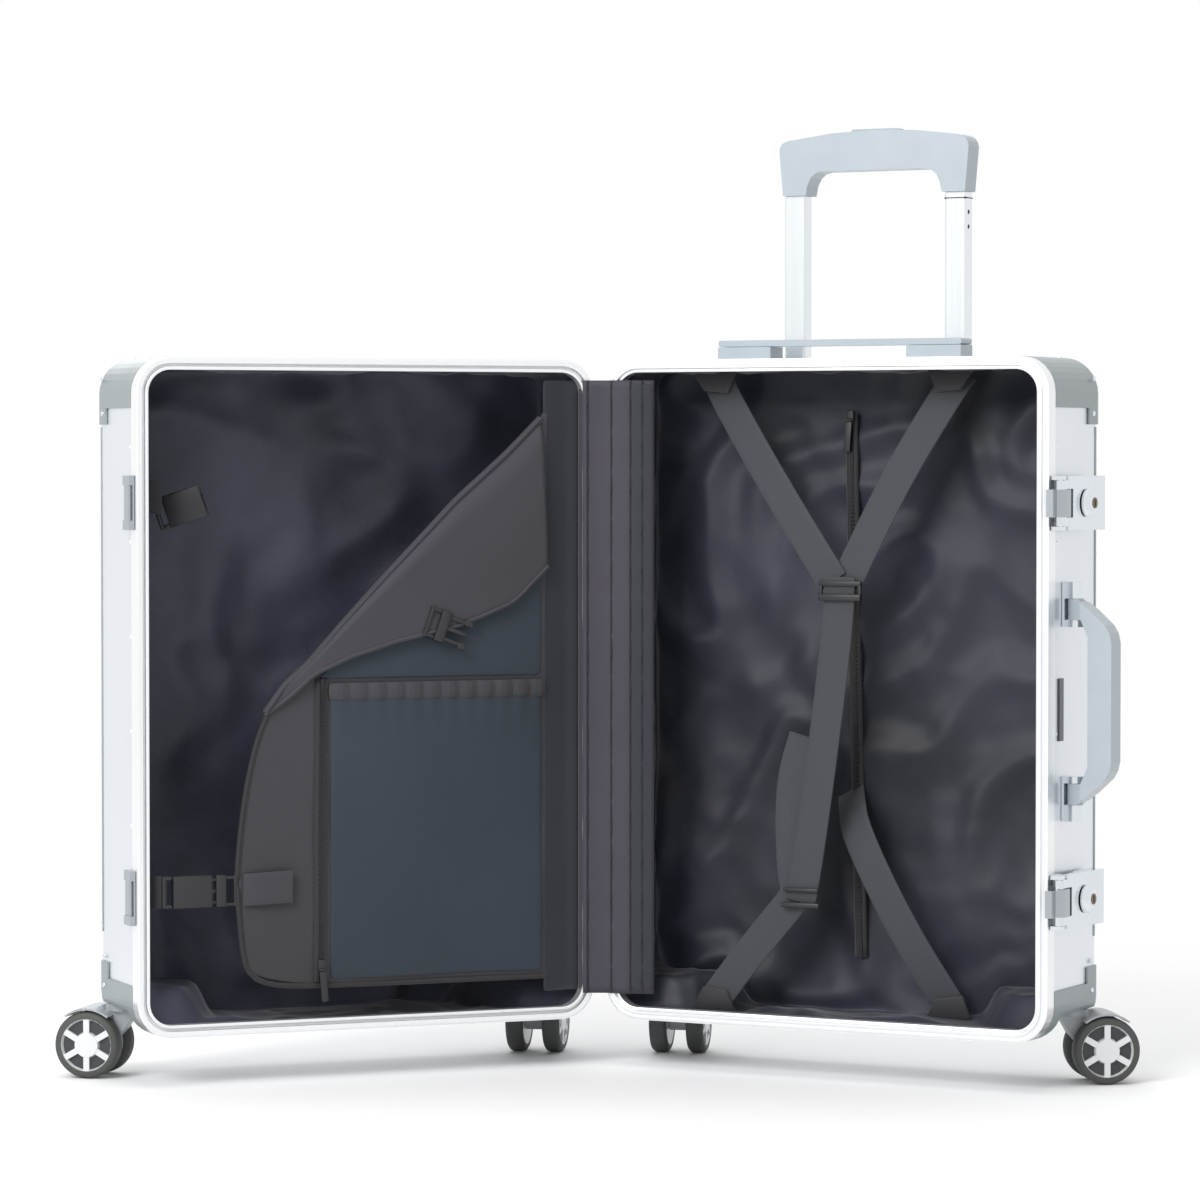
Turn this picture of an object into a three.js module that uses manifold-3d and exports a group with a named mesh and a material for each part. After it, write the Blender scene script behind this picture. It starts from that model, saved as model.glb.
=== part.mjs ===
// A cabin-size aluminium spinner case standing open like a book: two riveted half shells in extruded
// frames on a long hinge, draw latches, a side handle, a top handle, a two-stage trolley, a cloth
// divider, cross straps and four twin-wheel casters. Millimetres, +Z up.
import * as THREE from "three";
import { mergeVertices } from "three/addons/utils/BufferGeometryUtils.js";
import Module from "manifold-3d";

const wasm = await Module();
wasm.setup();

// ---- Driving dimensions -------------------------------------------------------------------------
const bodyHeight = 500; // frame to frame, without casters and handles
const bodyWidth = 360; // spine side to latch side
const halfDepth = 103; // one half, from the parting plane to its big face
const openHalfAngle = THREE.MathUtils.degToRad(25); // each half is turned this far from flat open
const gap = 0.3; // clearance between seated pieces
const slip = 0.4; // running clearance of sliding tubes

const shell = { sheet: 1.5, corner: 25, backEdge: 8 };
const frame = {
  border: 8, web: 5, proud: 1.5, flangeWall: 1.2, reach: 13, innerReach: 16, lip: 2, lipReach: 9,
};
const tongue = { inset: 3.7, width: 1.5, height: 2, groovePlay: 0.5, grooveDepth: 3.5, seal: 1.1 };
const partingGap = 0.25; // each frame stays this far behind the parting plane
const hinge = { offset: 6.5, knuckle: 3.1, pin: 1.3, leaf: 1.4, leafReach: 22, margin: 38, knuckles: 9 };
const lining = { cloth: 1.2, slack: 0.6, front: 11, baseBack: 77.6 };
const guard = { skin: 1.4, side: 36, rim: 48, rimDepth: 24 };
const wheelRadius = 25;
const caster = {
  insetOuter: 10, insetHinge: 19, depth: 78, trail: 22, wheelRadius, wheelWidth: 13, wheelGap: 16,
  ground: wheelRadius + 13, wellRadius: wheelRadius + 25, wellTop: wheelRadius - 8, wellWall: 2.2,
  boss: 15, bossTop: wheelRadius + 5, stem: 5, axle: 3, hub: 9, rim: wheelRadius - 5.5, dish: 3, spokes: 6,
  spokeWidth: 4.5,
};
const latch = {
  heights: { upper: 394, lower: 102.5 }, width: 40, axisDepth: 6.5, axisRise: 8, throw: 9, leverEnd: 80,
  plate: 1.8, ear: 3, pin: 1.6, cylinder: 5, knob: 10.5, knobHeight: 6, knobAt: 39.5, knobRise: 4.8, faceSlope: 3.7,
};
const keeper = { depth: 4, back: 26, plate: 1.4, bar: 2.2, rise: 4.2 };
const sideHandle = {
  centre: 248.2, spacing: 135.8, depth: 36.2, axisRise: 8.5, reach: 31.5, inner: 13, wide: 19,
  eyeRadius: 6, eyeTall: 15.4,
  bracketWide: 14, cap: 12, flange: 5, pin: 2.5, shoulder: 24.5, innerDrop: 20.4,
};
const topHandle = {
  depth: 38.5, length: 200, wide: 20, bar: 4.8, rise: 11.2, mountLength: 44, leg: 8, mountWide: 22,
};
const trolley = {
  depth: 89, centre: bodyWidth / 2 + 5, spacing: 133.4, sleeve: [21, 17], wall: 1.3,
  stageTop: 627, stageLength: 440, tipLength: 300,
  gripHeight: 48, gripWide: 20, gripLeg: 19, gripCrown: 30, gripFlare: 3, button: [40, 10], buttonRise: 1.4,
};
const strap = { depth: 22, thick: 1.6, wide: 25, spread: 103, joinHeight: 326, bandEnd: 92, bandDrift: 34 };
const divider = {
  depth: 6, thick: 4, spine: 8.4, hem: 12, hinge: 1.2, width: 279, low: 33, high: 471, corner: 26,
  foldU: 228, foldZ: 272,
};
const gusset = { cloth: 1.2, width: 25 };
const namePlate = { height: 46, wide: 12, thick: 0.9, centre: 242.5, depth: 29 };

// ---- Colours and finishes -----------------------------------------------------------------------
const finish = {
  shell: [0xd6dade, 0.32, 1],
  frame: [0xe4e7ea, 0.25, 1],
  guard: [0xa4abad, 0.42, 0.9],
  handle: [0xb4bdc1, 0.38, 0.2],
  chrome: [0xe8ecef, 0.12, 1],
  steel: [0x9a9ea2, 0.3, 1],
  wheel: [0xd5dadc, 0.35, 0.3],
  cloth: [0x34353d, 0.85, 0],
  web: [0x3d3f43, 0.7, 0],
  seal: [0x1b1c1e, 0.8, 0],
};
const materials = Object.fromEntries(
  Object.entries(finish).map(([name, [color, roughness, metalness]]) => [
    name,
    new THREE.MeshStandardMaterial({ name, color, roughness, metalness }),
  ]),
);

// ---- Solids -------------------------------------------------------------------------------------
const arcSteps = 4;

// A closed three.js geometry as a solid that can be joined and cut.
function solid(geometry) {
  const bare = geometry.index ? geometry.toNonIndexed() : geometry.clone();
  bare.deleteAttribute("normal");
  bare.deleteAttribute("uv");
  const merged = mergeVertices(bare, 1e-4);
  return new wasm.Manifold(
    new wasm.Mesh({
      numProp: 3,
      vertProperties: merged.attributes.position.array,
      triVerts: new Uint32Array(merged.index.array),
    }),
  );
}

function geometryOf(made) {
  const mesh = made.getMesh();
  const points = new Float32Array(mesh.numVert * 3);
  for (let i = 0; i < mesh.numVert; i++)
    points.set(mesh.vertProperties.subarray(i * mesh.numProp, i * mesh.numProp + 3), i * 3);
  const geometry = new THREE.BufferGeometry()
    .setAttribute("position", new THREE.BufferAttribute(points, 3))
    .setIndex(new THREE.BufferAttribute(mesh.triVerts, 1));
  const faceted = geometry.toNonIndexed();
  faceted.computeVertexNormals();
  return faceted;
}

const join = (...pieces) => pieces.reduce((all, piece) => all.add(piece));
const cut = (body, ...tools) => tools.reduce((left, tool) => left.subtract(tool), body);

function box(x0, x1, y0, y1, z0, z1) {
  const made = new THREE.BoxGeometry(x1 - x0, y1 - y0, z1 - z0);
  return solid(made.translate((x0 + x1) / 2, (y0 + y1) / 2, (z0 + z1) / 2));
}

function roundedRect(x0, x1, z0, z1, radius) {
  const shape = new THREE.Shape();
  shape.absarc(x1 - radius, z0 + radius, radius, -Math.PI / 2, 0);
  shape.absarc(x1 - radius, z1 - radius, radius, 0, Math.PI / 2);
  shape.absarc(x0 + radius, z1 - radius, radius, Math.PI / 2, Math.PI);
  shape.absarc(x0 + radius, z0 + radius, radius, Math.PI, Math.PI * 1.5);
  return shape;
}

// Shapes drawn in x and z, given their thickness along the depth y.
function slab(shape, y0, y1, options = {}) {
  const made = new THREE.ExtrudeGeometry(shape, {
    depth: y1 - y0, bevelEnabled: false, curveSegments: arcSteps, ...options,
  });
  return solid(made.rotateX(Math.PI / 2).translate(0, y1, 0));
}

// Shapes drawn in x and y, standing from z0 to z1.
function column(shape, z0, z1) {
  const made = new THREE.ExtrudeGeometry(shape, {
    depth: z1 - z0, bevelEnabled: false, curveSegments: arcSteps,
  });
  return solid(made.translate(0, 0, z0));
}

function outline(points) {
  return new THREE.Shape(points.map(([x, y]) => new THREE.Vector2(x, y)));
}

// A round bar between two heights, or along x or y when axis says so.
function rod(radius, x, y, z, length, axis = "z", sides = 20) {
  const made = new THREE.CylinderGeometry(radius, radius, length, sides);
  if (axis === "z") made.rotateX(Math.PI / 2).translate(x, y, z + length / 2);
  if (axis === "x") made.rotateZ(Math.PI / 2).translate(x + length / 2, y, z);
  if (axis === "y") made.translate(x, y + length / 2, z);
  return solid(made);
}

// The lid is the base's mirror image, so what it holds is mirrored across its spine.
function node(group, name, made, look) {
  const side = group.userData.mirrored ? made.mirror([1, 0, 0]) : made;
  const mesh = new THREE.Mesh(geometryOf(side), materials[look]);
  mesh.name = name;
  group.add(mesh);
  return mesh;
}

// ---- The half shell and its frame ---------------------------------------------------------------
// Half coordinates: x runs from the spine side to the latch side, y from the parting plane to the
// big face, and z up from the bottom of the frame's sheet.
function rim(inset) {
  return roundedRect(inset, bodyWidth - inset, inset, bodyHeight - inset, shell.corner - inset);
}

function ring(outer, inner, y0, y1) {
  const shape = rim(outer);
  shape.holes.push(rim(inner));
  return slab(shape, y0, y1);
}

// The half's block, shrunk by inset, with its big face's edge rounded.
function block(inset, y0, y1) {
  const edge = shell.backEdge - Math.min(inset, shell.backEdge - 2);
  const run = y1 - y0;
  const shape = rim(inset);
  const made = slab(shape, y0, y1 - edge, {
    depth: run - edge, bevelEnabled: true, bevelThickness: edge, bevelSize: edge, bevelOffset: -edge, bevelSegments: 3,
  });
  const far = bodyWidth + bodyHeight;
  return cut(made, box(-far, far, y0 - 2 * edge - 1, y0, -far, far));
}

// The space a caster sweeps, and what lines it.
function well(centre, radius, top) {
  return rod(radius, centre.x, centre.y, -bodyHeight, bodyHeight + top, "z", 32);
}

// Each caster's heading is the way its wheels trail, in degrees from the half's +x.
const casterPlaces = {
  outer: { x: bodyWidth - caster.insetOuter, y: caster.depth, heading: { base: 35, lid: 35 } },
  hinge: { x: caster.insetHinge, y: caster.depth, heading: { base: 107, lid: 123 } },
};
const wells = Object.values(casterPlaces);

function shellSolid() {
  const front = partingGap + frame.web + gap;
  const tub = cut(block(0, front, halfDepth), block(shell.sheet, front - 1, halfDepth - shell.sheet));
  const grow = caster.wellWall + gap;
  return cut(tub, ...wells.map((c) => well(c, caster.wellRadius + grow, caster.wellTop + grow)));
}

function frameSolid() {
  const front = partingGap;
  const back = front + frame.web;
  return join(
    ring(-frame.proud, frame.border, front, back),
    ring(-frame.proud, -frame.proud + frame.flangeWall, front, frame.reach),
    ring(shell.sheet + gap, shell.sheet + gap + frame.flangeWall, front, frame.innerReach),
    ring(frame.border - frame.lip, frame.border, front, frame.lipReach),
  );
}

function baseFrame() {
  const lip = ring(tongue.inset, tongue.inset + tongue.width, partingGap - tongue.height, partingGap + 1);
  return join(frameSolid(), lip);
}

function lidFrame() {
  const play = tongue.groovePlay;
  return cut(
    frameSolid(),
    ring(tongue.inset - play, tongue.inset + tongue.width + play, partingGap - 1, partingGap + tongue.grooveDepth),
  );
}

function sealSolid() {
  const floor = partingGap + tongue.grooveDepth - gap;
  return ring(tongue.inset, tongue.inset + tongue.width, floor - tongue.seal, floor);
}

function liningSolid(back) {
  const inset = shell.sheet + lining.slack;
  const inner = inset + lining.cloth;
  const tub = cut(block(inset + frame.flangeWall, lining.front, back), block(inner + frame.flangeWall,
    lining.front - 1, back - lining.cloth));
  const grow = caster.wellWall + 2 * gap + lining.cloth;
  return cut(
    tub,
    ring(-1, shell.sheet + frame.flangeWall + 2 * gap, lining.front - 1, frame.innerReach + gap),
    ...wells.map((c) => well(c, caster.wellRadius + grow, caster.bossTop + gap)),
  );
}

// A thin skin over the corner of a half, wider around the big face's edge.
function cornerSkin(atLatchSide, atTop) {
  const over = cut(block(-guard.skin - gap, frame.reach + gap, halfDepth + guard.skin + gap),
    block(-gap, frame.reach, halfDepth + gap));
  const along = (size, high) => (high ? [bodyWidth - size, bodyWidth + 10] : [-10, size]);
  const up = (size) => (atTop ? [bodyHeight - size, bodyHeight + 10] : [-10, size]);
  const near = box(...along(guard.side, atLatchSide), frame.reach, halfDepth + 10, ...up(guard.side));
  const rimPart = box(...along(guard.rim, atLatchSide), halfDepth - guard.rimDepth, halfDepth + 10, ...up(guard.rim));
  return over.intersect(join(near, rimPart));
}

// The lower corner carries the caster: a lined wheel well with a swivel boss.
function casterHousing(place, atLatchSide) {
  const skin = cornerSkin(atLatchSide, false);
  const inside = block(-guard.skin - gap, frame.reach + gap, halfDepth + guard.skin + gap);
  const liner = well(place, caster.wellRadius + caster.wellWall, caster.wellTop + caster.wellWall).intersect(inside);
  const boss = rod(caster.boss, place.x, place.y, caster.wellTop, caster.bossTop - caster.wellTop);
  const within = block(shell.sheet + gap, frame.reach, halfDepth - shell.sheet - gap);
  return cut(
    join(skin, liner, boss.intersect(within)),
    well(place, caster.wellRadius, caster.wellTop),
    rod(caster.stem + gap, place.x, place.y, caster.wellTop - 1, caster.bossTop - caster.wellTop - 2),
  );
}

// ---- The hinge ----------------------------------------------------------------------------------
// Hinge coordinates are half coordinates with x = -hinge.offset on the pin's axis.
const hingeLow = hinge.margin;
const hingeHigh = bodyHeight - hinge.margin;
const knuckleLength = (hingeHigh - hingeLow) / hinge.knuckles;

function hingeLeaf(own) {
  const face = -frame.proud - gap;
  const plate = box(face - hinge.leaf, face, partingGap + 3, partingGap + 3 + hinge.leafReach, hingeLow, hingeHigh);
  const arm = column(
    outline([
      [-hinge.offset, -hinge.knuckle * 0.3],
      [-hinge.offset + hinge.knuckle * 0.8, hinge.knuckle * 0.5],
      [face, partingGap + 3],
      [face, partingGap + 5],
      [face - hinge.leaf, partingGap + 5],
      [-hinge.offset - hinge.knuckle * 0.6, hinge.knuckle * 0.7],
    ]),
    hingeLow,
    hingeHigh,
  );
  const barrel = rod(hinge.knuckle, -hinge.offset, 0, hingeLow, hingeHigh - hingeLow, "z", 16);
  const others = [];
  for (let i = 0; i < hinge.knuckles; i++) {
    if (i % 2 === own) continue;
    const z0 = hingeLow + i * knuckleLength;
    const clear = hinge.knuckle + gap;
    others.push(
      box(-hinge.offset - clear, -hinge.offset + clear, -clear, clear, z0 - gap, z0 + knuckleLength + gap),
    );
  }
  const bore = rod(hinge.pin + slip, -hinge.offset, 0, hingeLow - 1, hingeHigh - hingeLow + 2, "z", 12);
  return cut(join(plate, arm, barrel), ...others, bore);
}

function hingePin() {
  return rod(hinge.pin, -hinge.offset, 0, hingeLow - 1.5, hingeHigh - hingeLow + 3, "z", 12);
}

// ---- Latches and keepers ------------------------------------------------------------------------
const wallFace = bodyWidth; // the latch side's outer face
const leverAxis = { x: wallFace + latch.axisRise, y: latch.axisDepth };

function latchBase(z) {
  const face = wallFace + gap;
  const half = latch.width / 2;
  const start = frame.reach + gap;
  const plate = box(face, face + latch.plate, start, latch.leverEnd - 4, z - half + 2, z + half - 2);
  const profile = outline([
    [face, start], [face + 1.8, start], [face + 1.8, leverAxis.y - 3], [leverAxis.x + 3, leverAxis.y - 3],
    [leverAxis.x + 3, leverAxis.y + 3], [face + latch.plate, start + 8], [face, start + 8],
  ]);
  const ears = [z - half, z + half - latch.ear].map((z0) => column(profile, z0, z0 + latch.ear));
  const pin = rod(latch.pin, leverAxis.x, leverAxis.y, z - half + 1, latch.width - 2, "z", 12);
  return join(plate, ...ears, pin);
}

// The lever's axis is at the origin; its handle end points along +y and its outer face along +x.
function latchLever() {
  const half = latch.width / 2;
  const end = latch.leverEnd - latch.axisDepth;
  const profile = outline([
    [-1, 0], [-1, 30], [-4.2, 36], [-4.2, end - 3], [-1, end], [5, end], [7.4, end - 4],
    [7, end - 10], [5.6, 52], [3.2, 14],
    [2.4, 8], [2.4, 0],
  ]);
  const barrel = rod(3.4, 0, 0, -half, 2 * half, "z", 16);
  const clawSlot = box(-12, 12, latch.throw - 3.6, latch.throw + 7.6, -10.5, 10.5);
  const clawPin = rod(latch.pin, 0, latch.throw, -12, 24, "z", 12);
  const inner = half - latch.ear - gap;
  const earSlots = [[-half - 1, -inner], [inner, half + 1]].map(([z0, z1]) => box(-12, 12, -8, 9, z0, z1));
  const underEars = box(-12, -0.6, 9, 19, -half - 1, half + 1);
  const bore = rod(latch.pin + slip, 0, 0, -half - 1, 2 * half + 2, "z", 12);
  const plate = cut(column(profile, -half, half), underEars);
  return cut(join(cut(join(plate, barrel), clawSlot), clawPin), ...earSlots, bore, knobBore());
}

// The lock's knob sits on the lever's slanted face, turned square to it.
const knobPlace = { x: latch.knobRise, y: latch.knobAt, turn: -latch.faceSlope };

function knobBore() {
  const made = rod(latch.cylinder + gap, -5, 0, 0, 12, "x", 20);
  return made.rotate([0, 0, knobPlace.turn]).translate([knobPlace.x, knobPlace.y, 0]);
}

function lockKnob() {
  const stem = rod(latch.cylinder, -4.6, 0, 0, 6, "x", 20);
  const low = 0.8;
  const profile = [
    [0, low], [latch.knob, low], [latch.knob, low + 1.4], [latch.knob * 0.9, latch.knobHeight * 0.62],
    [latch.knob * 0.72, latch.knobHeight * 0.88], [latch.cylinder + 1, latch.knobHeight], [0, latch.knobHeight],
  ].map(([x, y]) => new THREE.Vector2(x, y));
  const dome = solid(new THREE.LatheGeometry(profile, 28).rotateZ(-Math.PI / 2));
  return cut(join(stem, dome), box(latch.knobHeight - 2, latch.knobHeight + 1, -0.9, 0.9, -3.6, 3.6));
}

// The claw's pivot is at the origin and its hook reaches along -y, over the parting plane.
function latchClaw() {
  const eye = rod(3.1, 0, 0, -10, 20, "z", 16);
  const body = column(
    outline([
      [2.6, 2], [6.4, -4], [6.4, -13], [1, -18.5], [1, -25.8], [-4.4, -25.8], [-4.4, -24.4], [-1.6, -24.4],
      [-1.6, -19], [3.9, -13], [3.9, -3.5], [0.5, -2], [-1, 0],
    ]),
    -10,
    10,
  );
  return cut(join(eye, body), rod(latch.pin + slip, 0, 0, -11, 22, "z", 12));
}

function keeperSolid(z) {
  const face = wallFace + frame.proud + gap;
  const half = latch.width / 2;
  const plate = box(face, face + keeper.plate, keeper.depth, keeper.back, z - half, z + half);
  const foot = box(wallFace + gap, face + 1, frame.reach + gap, keeper.back, z - half + 4, z + half - 4);
  const ear = (z0) => box(face, face + keeper.rise, keeper.depth, keeper.back - 6, z0, z0 + 7);
  const bar = rod(keeper.bar / 2 + 0.2, face + keeper.rise - 1.4, keeper.depth + 3, z - half + 1, latch.width - 2,
    "z", 10);
  return join(plate, foot, ear(z - half), ear(z + half - 7), bar);
}

// ---- Handles ------------------------------------------------------------------------------------
const sidePivot = { x: wallFace + sideHandle.axisRise, y: sideHandle.depth };

// up is 1 for the upper bracket, whose cap is above its eye, and -1 for the lower one.
function sideBracket(z, up) {
  const face = wallFace + gap;
  const half = sideHandle.bracketWide / 2;
  const eye = sideHandle.eyeTall / 2 + gap;
  const span = (from, to) => (up > 0 ? [z + from, z + to] : [z - to, z - from]);
  const ear = ([z0, z1]) =>
    join(
      box(face, sidePivot.x, sidePivot.y - half + 1, sidePivot.y + half - 1, z0, z1),
      rod(half - 1, sidePivot.x, sidePivot.y, z0, z1 - z0),
    );
  const foot = box(face, face + 2, sidePivot.y - half, sidePivot.y + half,
    ...span(-eye - sideHandle.flange, eye + sideHandle.cap));
  const [pinLow, pinHigh] = span(-eye - 1, eye + 1);
  const pin = rod(sideHandle.pin, sidePivot.x, sidePivot.y, pinLow, pinHigh - pinLow);
  return join(foot, ear(span(eye, eye + sideHandle.cap)), ear(span(-eye - sideHandle.flange, -eye)), pin);
}

// The grip stands straight out from the wall, with slanted arms down to its two eyes.
function sideGrip() {
  const { reach, inner, shoulder, innerDrop } = sideHandle;
  const eye = sideHandle.spacing / 2;
  const top = eye + sideHandle.eyeTall / 2;
  const under = eye - sideHandle.eyeTall / 2;
  const upper = [
    [0, under], [7.4, under], [inner, eye - innerDrop], [reach, eye - shoulder], [reach - 1.5, eye - shoulder + 7],
    [reach - 5, eye - shoulder + 13], [15, eye - 1], [3.5, top], [0, top],
  ];
  const lower = upper.map(([x, y]) => [x, -y]).reverse();
  const wide = sideHandle.wide / 2;
  const frameShape = outline([
    ...lower.slice(0, 6), ...upper.slice(3), upper[0], upper[1], upper[2], lower[6], lower[7], lower[8],
  ]);
  const body = slab(frameShape, -wide, wide);
  const cheeks = [[-wide - 1, -sideHandle.eyeRadius], [sideHandle.eyeRadius, wide + 1]].map(([y0, y1]) =>
    box(-1, 7, y0, y1, -top - 1, top + 1));
  const eyes = [eye, -eye].map((z) => rod(sideHandle.eyeRadius, 0, 0, z - sideHandle.eyeTall / 2, sideHandle.eyeTall));
  const bore = rod(sideHandle.pin + slip, 0, 0, -top - 1, 2 * (top + 1));
  return cut(join(cut(body, ...cheeks), ...eyes), bore);
}

const topFace = bodyHeight;

function topMount(x0, inner) {
  const half = topHandle.mountWide / 2;
  const length = topHandle.mountLength;
  const z0 = topFace + gap;
  const y = topHandle.depth;
  const body = box(x0, x0 + length, y - half, y + half, z0, topFace + topHandle.rise - gap);
  const slotCentre = inner > 0 ? x0 + length - 14 : x0 + 14;
  const play = topHandle.leg / 2 + slip;
  return cut(
    body,
    box(slotCentre - play, slotCentre + play, y - play, y + play, z0 + 1.2, topFace + 40),
  );
}

function topGrip() {
  const x0 = bodyWidth / 2 - topHandle.length / 2;
  const x1 = x0 + topHandle.length;
  const half = topHandle.wide / 2;
  const z0 = topFace + topHandle.rise;
  const y = topHandle.depth;
  const bar = slab(roundedRect(x0, x1, z0, z0 + topHandle.bar, topHandle.bar * 0.4), y - half, y + half);
  const leg = topHandle.leg / 2;
  const legAt = (x) => box(x - leg, x + leg, y - leg, y + leg, topFace + 2.2, z0 + 2);
  return join(bar, legAt(x0 + topHandle.mountLength - 14), legAt(x1 - topHandle.mountLength + 14));
}

// ---- The trolley --------------------------------------------------------------------------------
const tubeXs = { left: trolley.centre - trolley.spacing / 2, right: trolley.centre + trolley.spacing / 2 };
const sleeveSize = trolley.sleeve;
const stageSize = sleeveSize.map((s) => s - 2 * (trolley.wall + slip));
const tipSize = stageSize.map((s) => s - 2 * (trolley.wall + slip));

function tube([wide, deep], x, z0, z1, wall = trolley.wall) {
  const y = trolley.depth;
  const bar = (w, d, low, high) =>
    column(roundedRect(x - w / 2, x + w / 2, y - d / 2, y + d / 2, Math.min(2, d / 4)), low, high);
  return cut(bar(wide, deep, z0, z1), bar(wide - 2 * wall, deep - 2 * wall, z0 - 1, z1 + 1));
}

function trolleyFoot() {
  const [wide, deep] = sleeveSize;
  const y0 = trolley.depth - deep / 2 - 1;
  const y1 = halfDepth - shell.sheet - gap;
  const x0 = tubeXs.left + wide / 2 - 2;
  const x1 = tubeXs.right - wide / 2 + 2;
  const low = caster.wellTop + 10;
  const bar = box(tubeXs.left - wide / 2 - 2, tubeXs.right + wide / 2 + 2, y0, y1, low, low + 18);
  const sockets = Object.values(tubeXs).map((x) =>
    box(x - wide / 2 - gap, x + wide / 2 + gap, trolley.depth - deep / 2 - gap, trolley.depth + deep / 2 + gap,
      low + 4, low + 30));
  return cut(bar, box(x0 + 6, x1 - 6, y0 - 1, y1 - 3, low - 1, low + 20), ...sockets);
}
const sleeveLow = caster.wellTop + 10 + 4 + gap;

function trolleyBezel() {
  const [wide, deep] = stageSize;
  const x0 = tubeXs.left - 20;
  const x1 = tubeXs.right + 20;
  const plate = box(x0, x1, trolley.depth - 11, halfDepth - 2, topFace + gap, topFace + gap + 2.4);
  const holes = Object.values(tubeXs).map((x) =>
    box(x - wide / 2 - slip, x + wide / 2 + slip, trolley.depth - deep / 2 - slip, trolley.depth + deep / 2 + slip,
      topFace, topFace + 10));
  return cut(plate, ...holes);
}

function shellTubeHoles() {
  const [wide, deep] = stageSize;
  return Object.values(tubeXs).map((x) =>
    box(x - wide / 2 - slip, x + wide / 2 + slip, trolley.depth - deep / 2 - slip, trolley.depth + deep / 2 + slip,
      bodyHeight - 20, bodyHeight + 5));
}

function trolleyGrip() {
  const { gripFlare: flare, gripLeg: leg, gripCrown: crown } = trolley;
  const x0 = tubeXs.left - stageSize[0] / 2 + 0.5;
  const x1 = tubeXs.right + stageSize[0] / 2 + 0.5;
  const z0 = trolley.stageTop + gap;
  const z1 = z0 + trolley.gripHeight;
  const side = new THREE.Shape();
  side.moveTo(x0, z0);
  side.lineTo(x0 - flare, z1 - 14);
  side.quadraticCurveTo(x0 - flare, z1 - 7, x0 + 5, z1 - 6);
  side.quadraticCurveTo((x0 + x1) / 2, z1 + 6, x1 - 6, z1 - 5);
  side.quadraticCurveTo(x1 + flare - 1, z1 - 6, x1 + flare, z1 - 14);
  side.lineTo(x1, z0);
  side.lineTo(x1 - leg, z0);
  side.quadraticCurveTo(x1 - leg - 2, z1 - crown, x1 - leg - 14, z1 - crown);
  side.lineTo(x0 + leg + 14, z1 - crown);
  side.quadraticCurveTo(x0 + leg + 2, z1 - crown, x0 + leg, z0);
  const half = trolley.gripWide / 2;
  const body = slab(side, trolley.depth - half, trolley.depth + half);
  const [bw, bd] = trolley.button;
  const mid = trolley.centre;
  const y = trolley.depth;
  const pocket = box(mid - bw / 2 - gap, mid + bw / 2 + gap, y - bd / 2 - gap, y + bd / 2 + gap,
    z1 - 10, z1 + 20);
  const bores = Object.values(tubeXs).map((x) =>
    box(x - tipSize[0] / 2 - gap, x + tipSize[0] / 2 + gap, y - tipSize[1] / 2 - gap, y + tipSize[1] / 2 + gap,
      z0 - 5, z0 + 14));
  return cut(body, pocket, ...bores);
}

function trolleyButton() {
  const [bw, bd] = trolley.button;
  const mid = trolley.centre;
  const top = trolley.stageTop + gap + trolley.gripHeight;
  const floor = top - 4;
  return slab(roundedRect(mid - bw / 2, mid + bw / 2, floor, top + trolley.buttonRise, 2),
    trolley.depth - bd / 2, trolley.depth + bd / 2);
}

// ---- Cloth and webbing --------------------------------------------------------------------------
// A straight run of flat webbing from one point to another, drawn in x and z.
function webbing(from, to, y) {
  const dx = to[0] - from[0];
  const dz = to[1] - from[1];
  const length = Math.hypot(dx, dz);
  const nx = (-dz / length) * (strap.wide / 2);
  const nz = (dx / length) * (strap.wide / 2);
  const shape = outline([
    [from[0] + nx, from[1] + nz],
    [from[0] - nx, from[1] - nz],
    [to[0] - nx, to[1] - nz],
    [to[0] + nx, to[1] + nz],
  ]);
  return slab(shape, y, y + strap.thick);
}

function crossStrap() {
  const mid = bodyWidth / 2;
  const edge = shell.sheet + lining.slack + frame.flangeWall + lining.cloth + gap;
  const high = bodyHeight - edge;
  const low = edge;
  const y = strap.depth;
  const joint = [mid + 4, strap.joinHeight];
  const end = [mid - strap.bandDrift, strap.bandEnd];
  const tab = (x, z0, z1) => box(x - 13, x + 13, y, y + 2.4, z0, z1);
  const knot = ([x, z]) => box(x - 15, x + 15, y, y + 4, z - 7, z + 7);
  const anchors = [mid - strap.spread, mid + strap.spread];
  return join(
    knot(joint),
    knot(end),
    webbing(joint, end, y),
    ...anchors.map((x) => tab(x, high - 18, high)),
    ...anchors.map((x) => tab(x, low, low + 14)),
    ...anchors.map((x) => webbing([x, high - 10], joint, y)),
    ...anchors.map((x) => webbing(end, [x, low + 12], y)),
  );
}

// A stiffened cloth panel with a thin cloth hinge along its spine edge.
function dividerSolid() {
  const { spine, hem, width, low, high, corner, foldU, foldZ } = divider;
  const outer = spine + width;
  const side = new THREE.Shape();
  side.moveTo(spine + hem, low);
  side.lineTo(outer - corner, low);
  side.quadraticCurveTo(outer, low, outer, low + corner);
  side.lineTo(outer, low + 90);
  side.quadraticCurveTo(outer - 8, foldZ - 40, foldU, foldZ);
  side.lineTo(spine + 34, high - 12);
  side.lineTo(spine + 32, high);
  side.lineTo(spine + hem, high);
  const middle = divider.depth + divider.thick / 2;
  const strip = box(spine, spine + hem + 1, middle - divider.hinge / 2, middle + divider.hinge / 2, low, high);
  return join(slab(side, divider.depth, divider.depth + divider.thick), strip);
}

function gussetSolid() {
  const y0 = partingGap + frame.lipReach + gap;
  const x0 = frame.border - frame.lip + gap;
  return box(x0, x0 + gusset.width, y0, y0 + gusset.cloth, divider.low, divider.high);
}

function namePlateSolid() {
  const face = wallFace + gap;
  const z = namePlate.centre;
  const y = namePlate.depth - namePlate.wide / 2;
  const half = namePlate.height / 2;
  return box(face, face + namePlate.thick, y, y + namePlate.wide - 4, z - half, z + half);
}

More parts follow.
